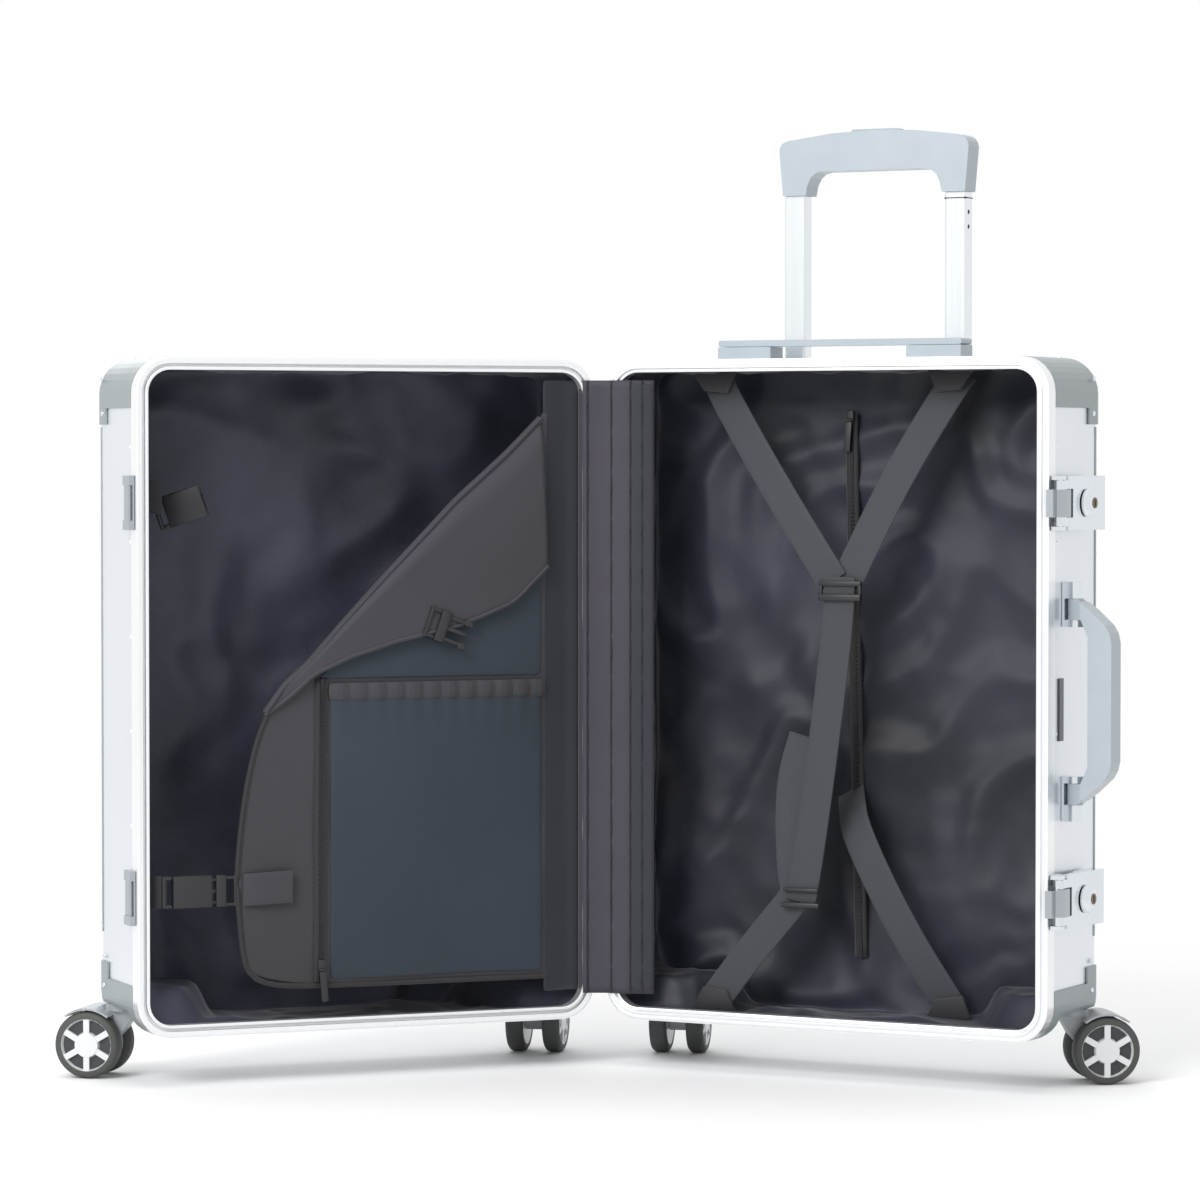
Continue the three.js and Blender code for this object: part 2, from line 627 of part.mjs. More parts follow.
// ---- Casters ------------------------------------------------------------------------------------
// Caster coordinates: the swivel axis on z, the wheels trailing along +x, z = 0 at the floor.
const axleHeight = caster.wheelRadius;
const wellCeiling = caster.ground + caster.wellTop;

function casterFork() {
  const cheek = caster.wheelGap / 2 - 1;
  const crown = wellCeiling - gap;
  const fin = slab(
    outline([
      [-11, crown],
      [-11, crown - 5],
      [-4, axleHeight + 12],
      [caster.trail - 9, axleHeight - 7],
      [caster.trail + 7, axleHeight - 7],
      [caster.trail + 9, axleHeight + 5],
      [caster.trail - 1, axleHeight + 24],
      [11, crown - 5],
      [11, crown],
    ].reverse()),
    -cheek,
    cheek,
  );
  const collar = rod(11, 0, 0, crown - 5, 5);
  const stem = rod(caster.stem, 0, 0, crown - 2, caster.bossTop - caster.wellTop - 4, "z", 16);
  const reach = caster.wheelGap / 2 + caster.wheelWidth - 3;
  const axle = rod(caster.axle, caster.trail, -reach, axleHeight, 2 * reach, "y", 16);
  const hood = new THREE.Shape();
  hood.absarc(0, 0, caster.wheelRadius + 2.8, THREE.MathUtils.degToRad(52), THREE.MathUtils.degToRad(128), false);
  hood.absarc(0, 0, caster.wheelRadius + 1.3, THREE.MathUtils.degToRad(128), THREE.MathUtils.degToRad(52), true);
  const wide = caster.wheelGap / 2 + caster.wheelWidth;
  const fender = slab(hood, -wide, wide).translate([caster.trail, 0, axleHeight]);
  return join(fin, collar, stem, axle, fender);
}

// One wheel on the +y side, its spokes showing on its outer face.
function casterWheel() {
  const half = caster.wheelWidth / 2;
  const bore = caster.axle + gap;
  const r = caster.wheelRadius;
  const inner = -half;
  const profile = [
    [bore, inner], [r - 3, inner], [r, inner + 2.5], [r, half - 2.5], [r - 3, half], [caster.rim, half],
    [caster.rim - 1, half - caster.dish], [caster.hub + 1, half - caster.dish], [caster.hub, half], [0, half],
    [0, half - 2], [bore, half - 2], [bore, inner],
  ].map(([x, y]) => new THREE.Vector2(x, y));
  const disc = solid(new THREE.LatheGeometry(profile, 24));
  const spokes = [];
  for (let i = 0; i < caster.spokes / 2; i++) {
    const bar = new THREE.BoxGeometry(2 * (caster.rim + 0.5), caster.dish + 1, caster.spokeWidth);
    bar.translate(0, half - (caster.dish + 1) / 2 - 0.4, 0).rotateY((i * 2 * Math.PI) / caster.spokes + Math.PI / 2);
    spokes.push(solid(bar));
  }
  return cut(join(disc, ...spokes), rod(bore, 0, -half - 1, 0, caster.wheelWidth - 1, "y", 16));
}

function placeCaster(half, prefix, place, heading) {
  const turned = new THREE.Group();
  const mirrored = half.userData.mirrored;
  turned.position.set(mirrored ? -place.x : place.x, place.y, -caster.ground);
  turned.rotation.z = THREE.MathUtils.degToRad(mirrored ? 180 - heading : heading);
  half.add(turned);
  node(turned, `${prefix}_fork`, casterFork(), "guard");
  for (const [name, sign] of [["near", -1], ["far", 1]]) {
    const wheel = node(turned, `${prefix}_wheel_${name}`, casterWheel(), "wheel");
    wheel.position.set(caster.trail, sign * (caster.wheelGap / 2 + caster.wheelWidth / 2), axleHeight);
    wheel.rotation.z = sign < 0 ? Math.PI : 0;
  }
}

// ---- Assembly -----------------------------------------------------------------------------------
function makeHalf(name, mirrored) {
  const turned = new THREE.Group();
  const half = new THREE.Group();
  half.userData.mirrored = mirrored;
  half.position.x = mirrored ? -hinge.offset : hinge.offset;
  turned.rotation.z = mirrored ? openHalfAngle : -openHalfAngle;
  turned.add(half);
  for (const [side, place] of Object.entries(casterPlaces)) {
    const atLatch = side === "outer";
    node(half, `${name}_guard_top_${side}`, cornerSkin(atLatch, true), "guard");
    node(half, `${name}_caster_housing_${side}`, casterHousing(place, atLatch), "guard");
    placeCaster(half, `${name}_caster_${side}`, place, place.heading[name]);
  }
  return [turned, half];
}

function buildBase() {
  const [turned, half] = makeHalf("base", false);
  node(half, "base_shell", cut(shellSolid(), ...shellTubeHoles()), "shell");
  node(half, "base_frame", baseFrame(), "frame");
  node(half, "base_lining", liningSolid(lining.baseBack), "cloth");
  node(half, "hinge_leaf_base", hingeLeaf(0), "frame");
  node(half, "hinge_pin", hingePin(), "steel");
  node(half, "name_plate", namePlateSolid(), "seal");
  node(half, "cross_strap", crossStrap(), "web");
  node(half, "spine_gusset", gussetSolid(), "cloth");
  addLatches(half);
  addHandles(half);
  addTrolley(half);
  return turned;
}

function addLatches(half) {
  for (const [level, z] of Object.entries(latch.heights)) {
    node(half, `latch_base_${level}`, latchBase(z), "chrome");
    const lever = node(half, `latch_lever_${level}`, latchLever(), "chrome");
    lever.position.set(leverAxis.x, leverAxis.y, z);
    const claw = node(half, `latch_claw_${level}`, latchClaw(), "steel");
    claw.position.set(leverAxis.x, leverAxis.y + latch.throw, z);
    const knob = node(half, `lock_knob_${level}`, lockKnob(), "chrome");
    knob.position.set(leverAxis.x + knobPlace.x, leverAxis.y + knobPlace.y, z);
    knob.rotation.z = THREE.MathUtils.degToRad(knobPlace.turn);
  }
}

function addHandles(half) {
  const eye = sideHandle.spacing / 2;
  node(half, "side_handle_bracket_upper", sideBracket(sideHandle.centre + eye, 1), "chrome");
  node(half, "side_handle_bracket_lower", sideBracket(sideHandle.centre - eye, -1), "chrome");
  const grip = node(half, "side_handle", sideGrip(), "handle");
  grip.position.set(sidePivot.x, sidePivot.y, sideHandle.centre);
  const start = bodyWidth / 2 - topHandle.length / 2;
  node(half, "top_handle_mount_left", topMount(start, 1), "handle");
  node(half, "top_handle_mount_right", topMount(start + topHandle.length - topHandle.mountLength, -1), "handle");
  node(half, "top_handle", topGrip(), "handle");
}

function addTrolley(half) {
  node(half, "trolley_foot", trolleyFoot(), "guard");
  node(half, "trolley_bezel", trolleyBezel(), "handle");
  const sleeveTop = bodyHeight - shell.sheet - 3 * gap;
  const stageLow = trolley.stageTop - trolley.stageLength;
  const tipTop = trolley.stageTop + gap + 13;
  for (const [side, x] of Object.entries(tubeXs)) {
    node(half, `trolley_sleeve_${side}`, tube(sleeveSize, x, sleeveLow, sleeveTop), "frame");
    node(half, `trolley_stage_${side}`, tube(stageSize, x, stageLow, trolley.stageTop), "frame");
    node(half, `trolley_tip_${side}`, tube(tipSize, x, tipTop - trolley.tipLength, tipTop), "frame");
  }
  node(half, "trolley_grip", trolleyGrip(), "handle");
  node(half, "trolley_button", trolleyButton(), "handle");
}

function buildLid() {
  const [turned, half] = makeHalf("lid", true);
  node(half, "lid_shell", shellSolid(), "shell");
  node(half, "lid_frame", lidFrame(), "frame");
  node(half, "lid_seal", sealSolid(), "seal");
  node(half, "lid_lining", liningSolid(halfDepth - shell.sheet - lining.slack), "cloth");
  node(half, "hinge_leaf_lid", hingeLeaf(1), "frame");
  node(half, "keeper_upper", keeperSolid(latch.heights.upper), "chrome");
  node(half, "keeper_lower", keeperSolid(latch.heights.lower), "chrome");
  node(half, "divider_panel", dividerSolid(), "cloth");
  return turned;
}

const spinnerCase = new THREE.Group();
spinnerCase.name = "spinner_case";
spinnerCase.add(buildBase(), buildLid());

// The origin is the middle of the case's footprint, on the floor.
const bounds = new THREE.Box3().setFromObject(spinnerCase, true);
const middle = bounds.getCenter(new THREE.Vector3());
spinnerCase.position.set(-middle.x, -middle.y, -bounds.min.z);

export default spinnerCase;
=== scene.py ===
# %% [markdown]
# # An aluminium cabin case, standing open like a book
#
# The case is two shallow metal half shells, hinged along one edge and standing on eight small
# wheels. The hard parts come in finished as solids. This lesson adds what a solid can't say: the
# cloth inside, the straps, zips and buckles, the tyres, the rivets, and the finish of each surface.

import math

import bmesh
import bpy
from mathutils import Matrix, Vector, noise


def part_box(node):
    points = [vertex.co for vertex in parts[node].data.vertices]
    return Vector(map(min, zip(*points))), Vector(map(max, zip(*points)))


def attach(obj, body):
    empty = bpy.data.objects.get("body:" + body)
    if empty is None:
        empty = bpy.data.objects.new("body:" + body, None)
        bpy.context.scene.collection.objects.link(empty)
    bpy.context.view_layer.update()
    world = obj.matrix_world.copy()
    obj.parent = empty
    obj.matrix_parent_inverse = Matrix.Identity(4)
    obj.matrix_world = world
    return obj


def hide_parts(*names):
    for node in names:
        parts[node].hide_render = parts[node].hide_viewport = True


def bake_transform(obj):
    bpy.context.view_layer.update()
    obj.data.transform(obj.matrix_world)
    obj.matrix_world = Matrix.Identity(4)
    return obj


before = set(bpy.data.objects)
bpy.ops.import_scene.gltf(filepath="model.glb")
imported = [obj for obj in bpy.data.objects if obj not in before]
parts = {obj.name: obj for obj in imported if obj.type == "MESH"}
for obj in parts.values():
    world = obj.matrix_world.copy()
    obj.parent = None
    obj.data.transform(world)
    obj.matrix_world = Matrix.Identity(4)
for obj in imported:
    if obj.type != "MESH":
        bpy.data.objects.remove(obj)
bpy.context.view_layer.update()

# %% [markdown]
# ## Measuring along a half
#
# Each half is turned 25 degrees about the hinge, so nothing on it is square to the room. It is far
# easier to model a strap or a zip in the half's own directions: across from the spine to the latches,
# back from the opening to the big face, and up. One matrix per half carries the finished piece to
# its place. The lid is the mirror image of the base, so its matrix mirrors as well.

# %% A half's own space, in millimetres
MM = 0.001
WIDE, HIGH, DEEP = 360, 500, 103
HINGE_GAP = 6.5
GROUND = 38
HALF_ANGLE = math.radians(25)

pin_low, pin_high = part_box("hinge_pin")
pin_axis = Vector((0, (pin_low.y + pin_high.y) / 2, GROUND * MM))
base_space = (
    Matrix.Translation(pin_axis)
    @ Matrix.Rotation(-HALF_ANGLE, 4, "Z")
    @ Matrix.Translation((HINGE_GAP * MM, 0, 0))
    @ Matrix.Scale(MM, 4)
)
SPACE = {"base": base_space, "lid": Matrix.Diagonal((-1, 1, 1, 1)) @ base_space}
print("pin axis at", tuple(round(v, 4) for v in pin_axis))

# %% [markdown]
# ## The camera and the studio
#
# The camera stands a long way off with a long lens, so the case is seen almost without perspective.
# It looks slightly to the left and slightly down. The floor and the room are plain and pale.

# %% Camera
TURN, TILT = 0.0466, 0.0308
FOCAL = 4620 / 1200 * 36
camera_data = bpy.data.cameras.new("studio_camera")
camera_data.sensor_width = 36
camera_data.lens = FOCAL
camera_data.clip_end = 100
camera = bpy.data.objects.new("studio_camera", camera_data)
camera.location = (0.1642, pin_axis.y - 3.5256, 0.4652)
look = Vector((-math.sin(TURN) * math.cos(TILT), math.cos(TURN) * math.cos(TILT), -math.sin(TILT)))
camera.rotation_euler = look.to_track_quat("-Z", "Y").to_euler()
bpy.context.scene.collection.objects.link(camera)
bpy.context.scene.camera = camera
print("lens", round(FOCAL, 1), "mm")

# %% [markdown]
# ## Shader sums in plain words
#
# A finish is a small web of nodes. Wiring each node by hand hides the idea, so a wrapped socket
# learns to add, subtract, multiply and divide, and one method makes any other node.

# %% A wrapped socket and a finish
class Signal:
    """One output socket that can be used in sums."""

    def __init__(self, finish, socket):
        self.finish, self.socket = finish, socket

    def sum(self, operation, first, second):
        return self.finish.add("ShaderNodeMath", {"operation": operation}, {0: first, 1: second})

    def __add__(self, other):
        return self.sum("ADD", self, other)

    def __sub__(self, other):
        return self.sum("SUBTRACT", self, other)

    def __rsub__(self, other):
        return self.sum("SUBTRACT", other, self)

    def __mul__(self, other):
        return self.sum("MULTIPLY", self, other)

    def __truediv__(self, other):
        return self.sum("DIVIDE", self, other)

    __radd__ = __add__
    __rmul__ = __mul__

    def least(self, other):
        return self.sum("MINIMUM", self, other)

    def most(self, other):
        return self.sum("MAXIMUM", self, other)


class Finish:
    """A material that is built node by node."""

    def __init__(self, name):
        self.material = bpy.data.materials.new(name)
        self.material.use_nodes = True
        self.tree = self.material.node_tree
        self.tree.nodes.clear()

    def add(self, kind, settings=None, inputs=None, output=0):
        made = self.tree.nodes.new(kind)
        for key, value in (settings or {}).items():
            setattr(made, key, value)
        for key, value in (inputs or {}).items():
            if isinstance(value, Signal):
                self.tree.links.new(value.socket, made.inputs[key])
            else:
                made.inputs[key].default_value = value
        return Signal(self, made.outputs[output])

    def place(self, kind="Object", scale=(1, 1, 1), turn=0):
        where = self.add("ShaderNodeTexCoord", output=kind)
        return self.add("ShaderNodeMapping", None, {"Vector": where, "Scale": scale, "Rotation": (0, 0, turn)})

    def cloudy(self, where, scale, detail=3, rough=0.5):
        inputs = {"Vector": where, "Scale": scale, "Detail": detail, "Roughness": rough}
        return self.add("ShaderNodeTexNoise", None, inputs)

    def stripes(self, where, scale, direction="X"):
        settings = {"wave_type": "BANDS", "bands_direction": direction, "wave_profile": "SIN"}
        return self.add("ShaderNodeTexWave", settings, {"Vector": where, "Scale": scale}, 1)

    def blended(self, share, first, second):
        settings = {"data_type": "RGBA"}
        return self.add("ShaderNodeMix", settings, {0: share, 6: first, 7: second}, 2)

    def bump(self, height, strength, distance):
        return self.add("ShaderNodeBump", None, {"Height": height, "Strength": strength, "Distance": distance})

    def surface(self, inputs):
        shader = self.add("ShaderNodeBsdfPrincipled", None, inputs)
        out = self.tree.nodes.new("ShaderNodeOutputMaterial")
        self.tree.links.new(shader.socket, out.inputs["Surface"])
        return self.material


def ink(red, green, blue):
    """A colour as a painter reads it, 0 to 255, made linear for the shader."""
    def linear(value):
        share = value / 255
        return share / 12.92 if share <= 0.04045 else ((share + 0.055) / 1.055) ** 2.4

    return (linear(red), linear(green), linear(blue), 1)


# %% [markdown]
# ## Metal finishes
#
# Anodised sheet isn't a mirror. The rolling leaves faint streaks along one direction, which show as
# small changes of gloss. So streaky noise, stretched a hundred times along the height, drives the
# roughness and a very shallow bump. Handling leaves softer clouds on top.

# %% Metals
def streaked_metal(name, colour, gloss, metal=1.0, streak=0.1, stretch=(260, 260, 6)):
    f = Finish(name)
    streaks = f.cloudy(f.place(scale=stretch), 1.6, 4, 0.6)
    clouds = f.cloudy(f.place(), 9, 3)
    shade = tuple(c * 0.88 for c in colour[:3]) + (1,)
    tone = f.blended((streaks * 0.55 + clouds * 0.45), shade, colour)
    rough = streaks * streak + clouds * 0.06 + (gloss - 0.08)
    return f.surface({
        "Base Color": tone, "Metallic": metal, "Roughness": rough,
        "Normal": f.bump(streaks, 0.12, 0.0004),
    })


sheet_metal = streaked_metal("anodised_sheet", ink(232, 236, 241), 0.34, 0.85)
frame_metal = streaked_metal("bright_extrusion", ink(247, 249, 251), 0.3, 0.8)
polished_metal = streaked_metal("polished_plate", ink(226, 231, 235), 0.16, 1.0, 0.06)
tube_metal = streaked_metal("drawn_tube", ink(236, 240, 243), 0.24, 0.95)
dark_steel = streaked_metal("dark_pin_steel", ink(122, 112, 92), 0.35, 0.9)
keeper_metal = streaked_metal("keeper_zinc", ink(176, 182, 187), 0.3, 0.9)
# painted shadow: a darker, duller metal that stands for the shade in the frame's groove
shadow_line = streaked_metal("groove_shadow", ink(150, 156, 162), 0.5, 0.3)
print("metals ready")

# %% [markdown]
# ## Paint and moulded plastic
#
# Painted guards and moulded grips have a fine pebbled skin. It catches light as tiny sparkles, and
# hands polish it on the high spots. Cells from a Voronoi texture a third of a millimetre across make
# the pebbles; slow noise makes the polish.

# %% Paint and plastics
def pebbled(name, colour, gloss, metal=0.0, grain=2600, depth=0.00012, coat=0.0, worn=0.12):
    f = Finish(name)
    where = f.place()
    pebbles = f.add("ShaderNodeTexVoronoi", None, {"Vector": where, "Scale": grain})
    polish = f.cloudy(where, 38, 4)
    dull = tuple(c * (1 - worn) for c in colour[:3]) + (1,)
    tone = f.blended(polish * 0.8 + pebbles * 0.2, dull, colour)
    return f.surface({
        "Base Color": tone, "Metallic": metal, "Roughness": polish * 0.16 + (gloss - 0.08),
        "Coat Weight": coat, "Coat Roughness": 0.25, "Normal": f.bump(pebbles, 0.35, depth),
    })


guard_paint = pebbled("guard_paint", ink(154, 162, 165), 0.42, 0.45, coat=0.1)
handle_plastic = pebbled("handle_plastic", ink(172, 182, 189), 0.36, 0.1, coat=0.25)
fork_paint = pebbled("fork_paint", ink(168, 172, 176), 0.4, 0.2)
hub_plastic = pebbled("hub_plastic", ink(228, 230, 231), 0.34, 0.2, coat=0.2)
dark_plastic = pebbled("buckle_plastic", ink(38, 39, 43), 0.45, worn=0.3)
pit_painted_shade = pebbled("wheel_pit_painted_shade", ink(58, 62, 64), 0.5, worn=0.3)
tyre_rubber = pebbled("tyre_rubber", ink(74, 76, 73), 0.62, grain=1500, depth=0.0002, worn=0.2)
# painted shade: a near-black finish for marks that stand for the shade inside holes and slots
hole_painted_shade = pebbled("hole_painted_shade", ink(38, 39, 41), 0.7, worn=0.2)
seal_silicone = pebbled("seal_silicone", ink(226, 229, 231), 0.6)
zip_metal = pebbled("zip_teeth", ink(34, 35, 38), 0.32, 0.3, worn=0.3)
plate_finish = pebbled("blank_plate", ink(92, 96, 100), 0.3, 0.8, worn=0.2)
print("plastics ready")

# %% [markdown]
# ## Cloth finishes
#
# The lining is a thin satin twill: diagonal ribs under a millimetre wide, with a soft sheen on the
# folds. Slow cloudy patches also paint every twill darker and paler, as painted shade and painted
# light on its folds. Webbing is woven as long ribs crossed by short ones, and must follow the strap
# wherever it bends, so it reads the strap's own map, which is laid out in millimetres.

# %% Cloths
def twill(name, colour, gloss=0.55, rib=620, turn=0.7, kind="Object", sheen=0.25, patch=5.0, low=0.62, high=1.25):
    f = Finish(name)
    where = f.place(kind)
    slant = f.place(kind, turn=turn)
    ribs = f.stripes(slant, rib, "DIAGONAL" if kind == "Object" else "X")
    painted_shade_patches = f.cloudy(where, patch, 4)
    thread = f.cloudy(where, 420, 2)
    # painted light and shade: slow cloudy patches blend the cloth between a darker and a paler copy of its colour, as
    # light and shade on its folds
    deep = tuple(c * low for c in colour[:3]) + (1,)
    pale = tuple(c * high for c in colour[:3]) + (1,)
    depth = (painted_shade_patches - 0.5) * 2.6 * (1 - low) + 0.5
    tone = f.blended((depth + (ribs + thread - 1) * 0.25).most(0).least(1), deep, pale)
    return f.surface({
        "Base Color": tone, "Roughness": painted_shade_patches * 0.2 + thread * 0.1 + (gloss - 0.12),
        "Sheen Weight": sheen, "Sheen Roughness": 0.4, "Specular IOR Level": 0.35,
        "Normal": f.bump(ribs + thread * 0.6, 0.3, 0.00025),
    })


def webbing(name, colour):
    f = Finish(name)
    where = f.add("ShaderNodeTexCoord", output="UV")
    ribs = f.stripes(f.add("ShaderNodeMapping", None, {"Vector": where}), 260, "X")
    picks = f.stripes(f.add("ShaderNodeMapping", None, {"Vector": where}), 420, "Y")
    fuzz = f.cloudy(where, 900, 3)
    weave = ribs * picks
    deep = tuple(c * 0.5 for c in colour[:3]) + (1,)
    tone = f.blended(weave * 0.6 + fuzz * 0.4, deep, colour)
    return f.surface({
        "Base Color": tone, "Roughness": 0.56 + fuzz * 0.2, "Sheen Weight": 0.2,
        "Sheen Roughness": 0.5, "Normal": f.bump(weave, 0.5, 0.0003),
    })


# strong painted light and shade for the linings: the patches run from a quarter to nearly twice the cloth's colour
satin = {"sheen": 0.3, "low": 0.25, "high": 1.9, "patch": 6.5}
# one satin lines both halves; the base's copy is painted darker as shade, the lid's copy paler as light
lining_cloth = {
    "base": twill("base_satin_shaded_copy", ink(36, 38, 49), 0.4, **satin),
    "lid": twill("lid_satin_lit_copy", ink(56, 58, 71), 0.4, **satin),
}
divider_cloth = twill("divider_twill", ink(60, 59, 65), 0.62, sheen=0.2)
spine_cloth = twill("spine_twill", ink(65, 62, 72), 0.58, sheen=0.25)
hem_cloth = twill("hem_twill", ink(47, 49, 56), 0.58, sheen=0.2)
pocket_cloth = twill("pocket_twill", ink(47, 56, 65), 0.6, rib=760, sheen=0.15)
binding_cloth = twill("binding_tape", ink(46, 45, 49), 0.66, sheen=0.2)
strap_webbing = webbing("strap_webbing", ink(66, 68, 75))
black_webbing = webbing("black_webbing", ink(48, 48, 52))
zip_tape = webbing("zip_tape", ink(34, 35, 39))
print("cloths ready")

# %% [markdown]
# ## Making a piece
#
# Every new piece is built in a half's own millimetres, carried to its place, given its finish, and
# told which moving part it rides on. Mirroring turns faces inside out, so closed shapes have their
# normals worked out again after the move.

# %% From a working mesh to a finished piece
def finished(name, bm, half, body, material, closed=True, sharp=38):
    if closed:
        bmesh.ops.remove_doubles(bm, verts=bm.verts, dist=0.01)
    bm.transform(SPACE[half])
    if closed:
        bmesh.ops.recalc_face_normals(bm, faces=bm.faces)
    elif half == "lid":
        bmesh.ops.reverse_faces(bm, faces=bm.faces)
    mesh = bpy.data.meshes.new(name)
    bm.to_mesh(mesh)
    bm.free()
    mesh.polygons.foreach_set("use_smooth", [True] * len(mesh.polygons))
    mesh.set_sharp_from_angle(angle=math.radians(sharp))
    mesh.materials.append(material)
    made = bpy.data.objects.new(name, mesh)
    bpy.context.scene.collection.objects.link(made)
    if body:
        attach(made, body)
    return made


def block(bm, low, high, edge=0.0, segments=2, turn=None):
    """A block between two corners, with rounded edges; turn is a matrix about its middle."""
    low, high = Vector(low), Vector(high)
    middle = (low + high) / 2
    made = bmesh.ops.create_cube(bm, size=1)["verts"]
    bmesh.ops.scale(bm, verts=made, vec=high - low)
    if edge:
        edges = list({e for v in made for e in v.link_edges})
        rounded = bmesh.ops.bevel(
            bm, geom=edges, offset=edge, segments=segments, affect="EDGES", profile=0.5, material=-1
        )
        made = list({v for f in rounded["faces"] for v in f.verts} | {v for v in made if v.is_valid})
    if turn is not None:
        bmesh.ops.transform(bm, verts=made, matrix=turn)
    bmesh.ops.translate(bm, verts=made, vec=middle)
    return made


def rod(bm, start, end, radius, sides=16):
    start, end = Vector(start), Vector(end)
    along = (end - start)
    turn = along.to_track_quat("Z", "Y").to_matrix().to_4x4()
    place = Matrix.Translation((start + end) / 2) @ turn
    return bmesh.ops.create_cone(
        bm, cap_ends=True, segments=sides, radius1=radius, radius2=radius, depth=along.length, matrix=place
    )["verts"]


def dome(bm, centre, out, radius, rise=0.5):
    """A low round head, such as a rivet's, standing out of a face."""
    turn = Vector(out).to_track_quat("Z", "Y").to_matrix().to_4x4()
    place = Matrix.Translation(Vector(centre)) @ turn @ Matrix.Diagonal((1, 1, rise, 1))
    bmesh.ops.create_uvsphere(bm, u_segments=10, v_segments=6, radius=radius, matrix=place)


def cloth(name, size, cells, lay, half, body, material, thick=0.8, rounds=1):
    """A flat grid of the cut's size, laid point by point where lay(s, t) says, in a half's space."""
    bm = bmesh.new()
    bm.loops.layers.uv.new("weave")
    bmesh.ops.create_grid(bm, x_segments=cells[0], y_segments=cells[1], size=0.5, calc_uvs=True)
    uv = bm.loops.layers.uv.active
    for face in bm.faces:
        for corner in face.loops:
            corner[uv].uv = (corner[uv].uv.x * size[0] * MM, corner[uv].uv.y * size[1] * MM)
    for v in bm.verts:
        v.co = lay(v.co.x + 0.5, v.co.y + 0.5)
    made = finished(name, bm, half, body, material, closed=False, sharp=80)
    if thick:
        wall = made.modifiers.new("cloth_thickness", "SOLIDIFY")
        wall.thickness, wall.offset = thick * MM, 0
    if rounds:
        soft = made.modifiers.new("soft_folds", "SUBSURF")
        soft.levels = soft.render_levels = rounds
    return made


print("tools ready")

# %% [markdown]
# ## The linings
#
# Each half is lined with a loose satin bag, glued at the rim and free elsewhere, so it puckers in
# the corners and lies in slow folds on the big face. A grid box, open at the front, is the flat cut
# sewn up. Its corners are rounded by drawing each point in towards the corner's own centre, the
# floor is lifted over the wheel wells, and ridged noise draws the folds.

# %% Folds and wells
noise.seed_set(7)  # noise_vector takes its offsets from the clock unless a seed is set
INSIDE = 3.9
FRONT = 10.5
CORNER = 21
WELLS = [(WIDE - 10, 78), (19, 78)]


def crease(point, seed, scale, sharp=1.6):
    """From 0 to 1, with long narrow ridges, as loose cloth folds."""
    bend = noise.noise_vector(point * scale * 0.6 + Vector((seed, 0, 7))) * 1.1
    value = noise.noise(point * scale + bend + Vector((0, seed, 0)))
    return max(0.0, 1 - abs(value) * 2.6) ** sharp


def rounded_corner(x, z, low, wide, high, corner):
    """Moves a point of a square outline on to one with round corners."""
    cx = min(max(x, low + corner), wide - low - corner)
    cz = min(max(z, low + corner), high - low - corner)
    dx, dz = x - cx, z - cz
    longest, length = max(abs(dx), abs(dz)), math.hypot(dx, dz)
    share = longest / length if length > 1e-6 else 1
    return cx + dx * share, cz + dz * share


def well_height(x, y):
    """How far the floor of the lining has to clear a wheel well."""
    height = 0.0
    for wx, wy in WELLS:
        away = math.hypot(x - wx, y - wy)
        height = max(height, 24.5 * min(1, max(0, (66 - away) / 10)))
    return height


# %% Sew a lining
def split_along(bm, axis, cuts):
    edges = [e for e in bm.edges if abs((e.verts[0].co - e.verts[1].co)[axis]) > 1]
    bmesh.ops.subdivide_edges(bm, edges=edges, cuts=cuts, use_grid_fill=True)


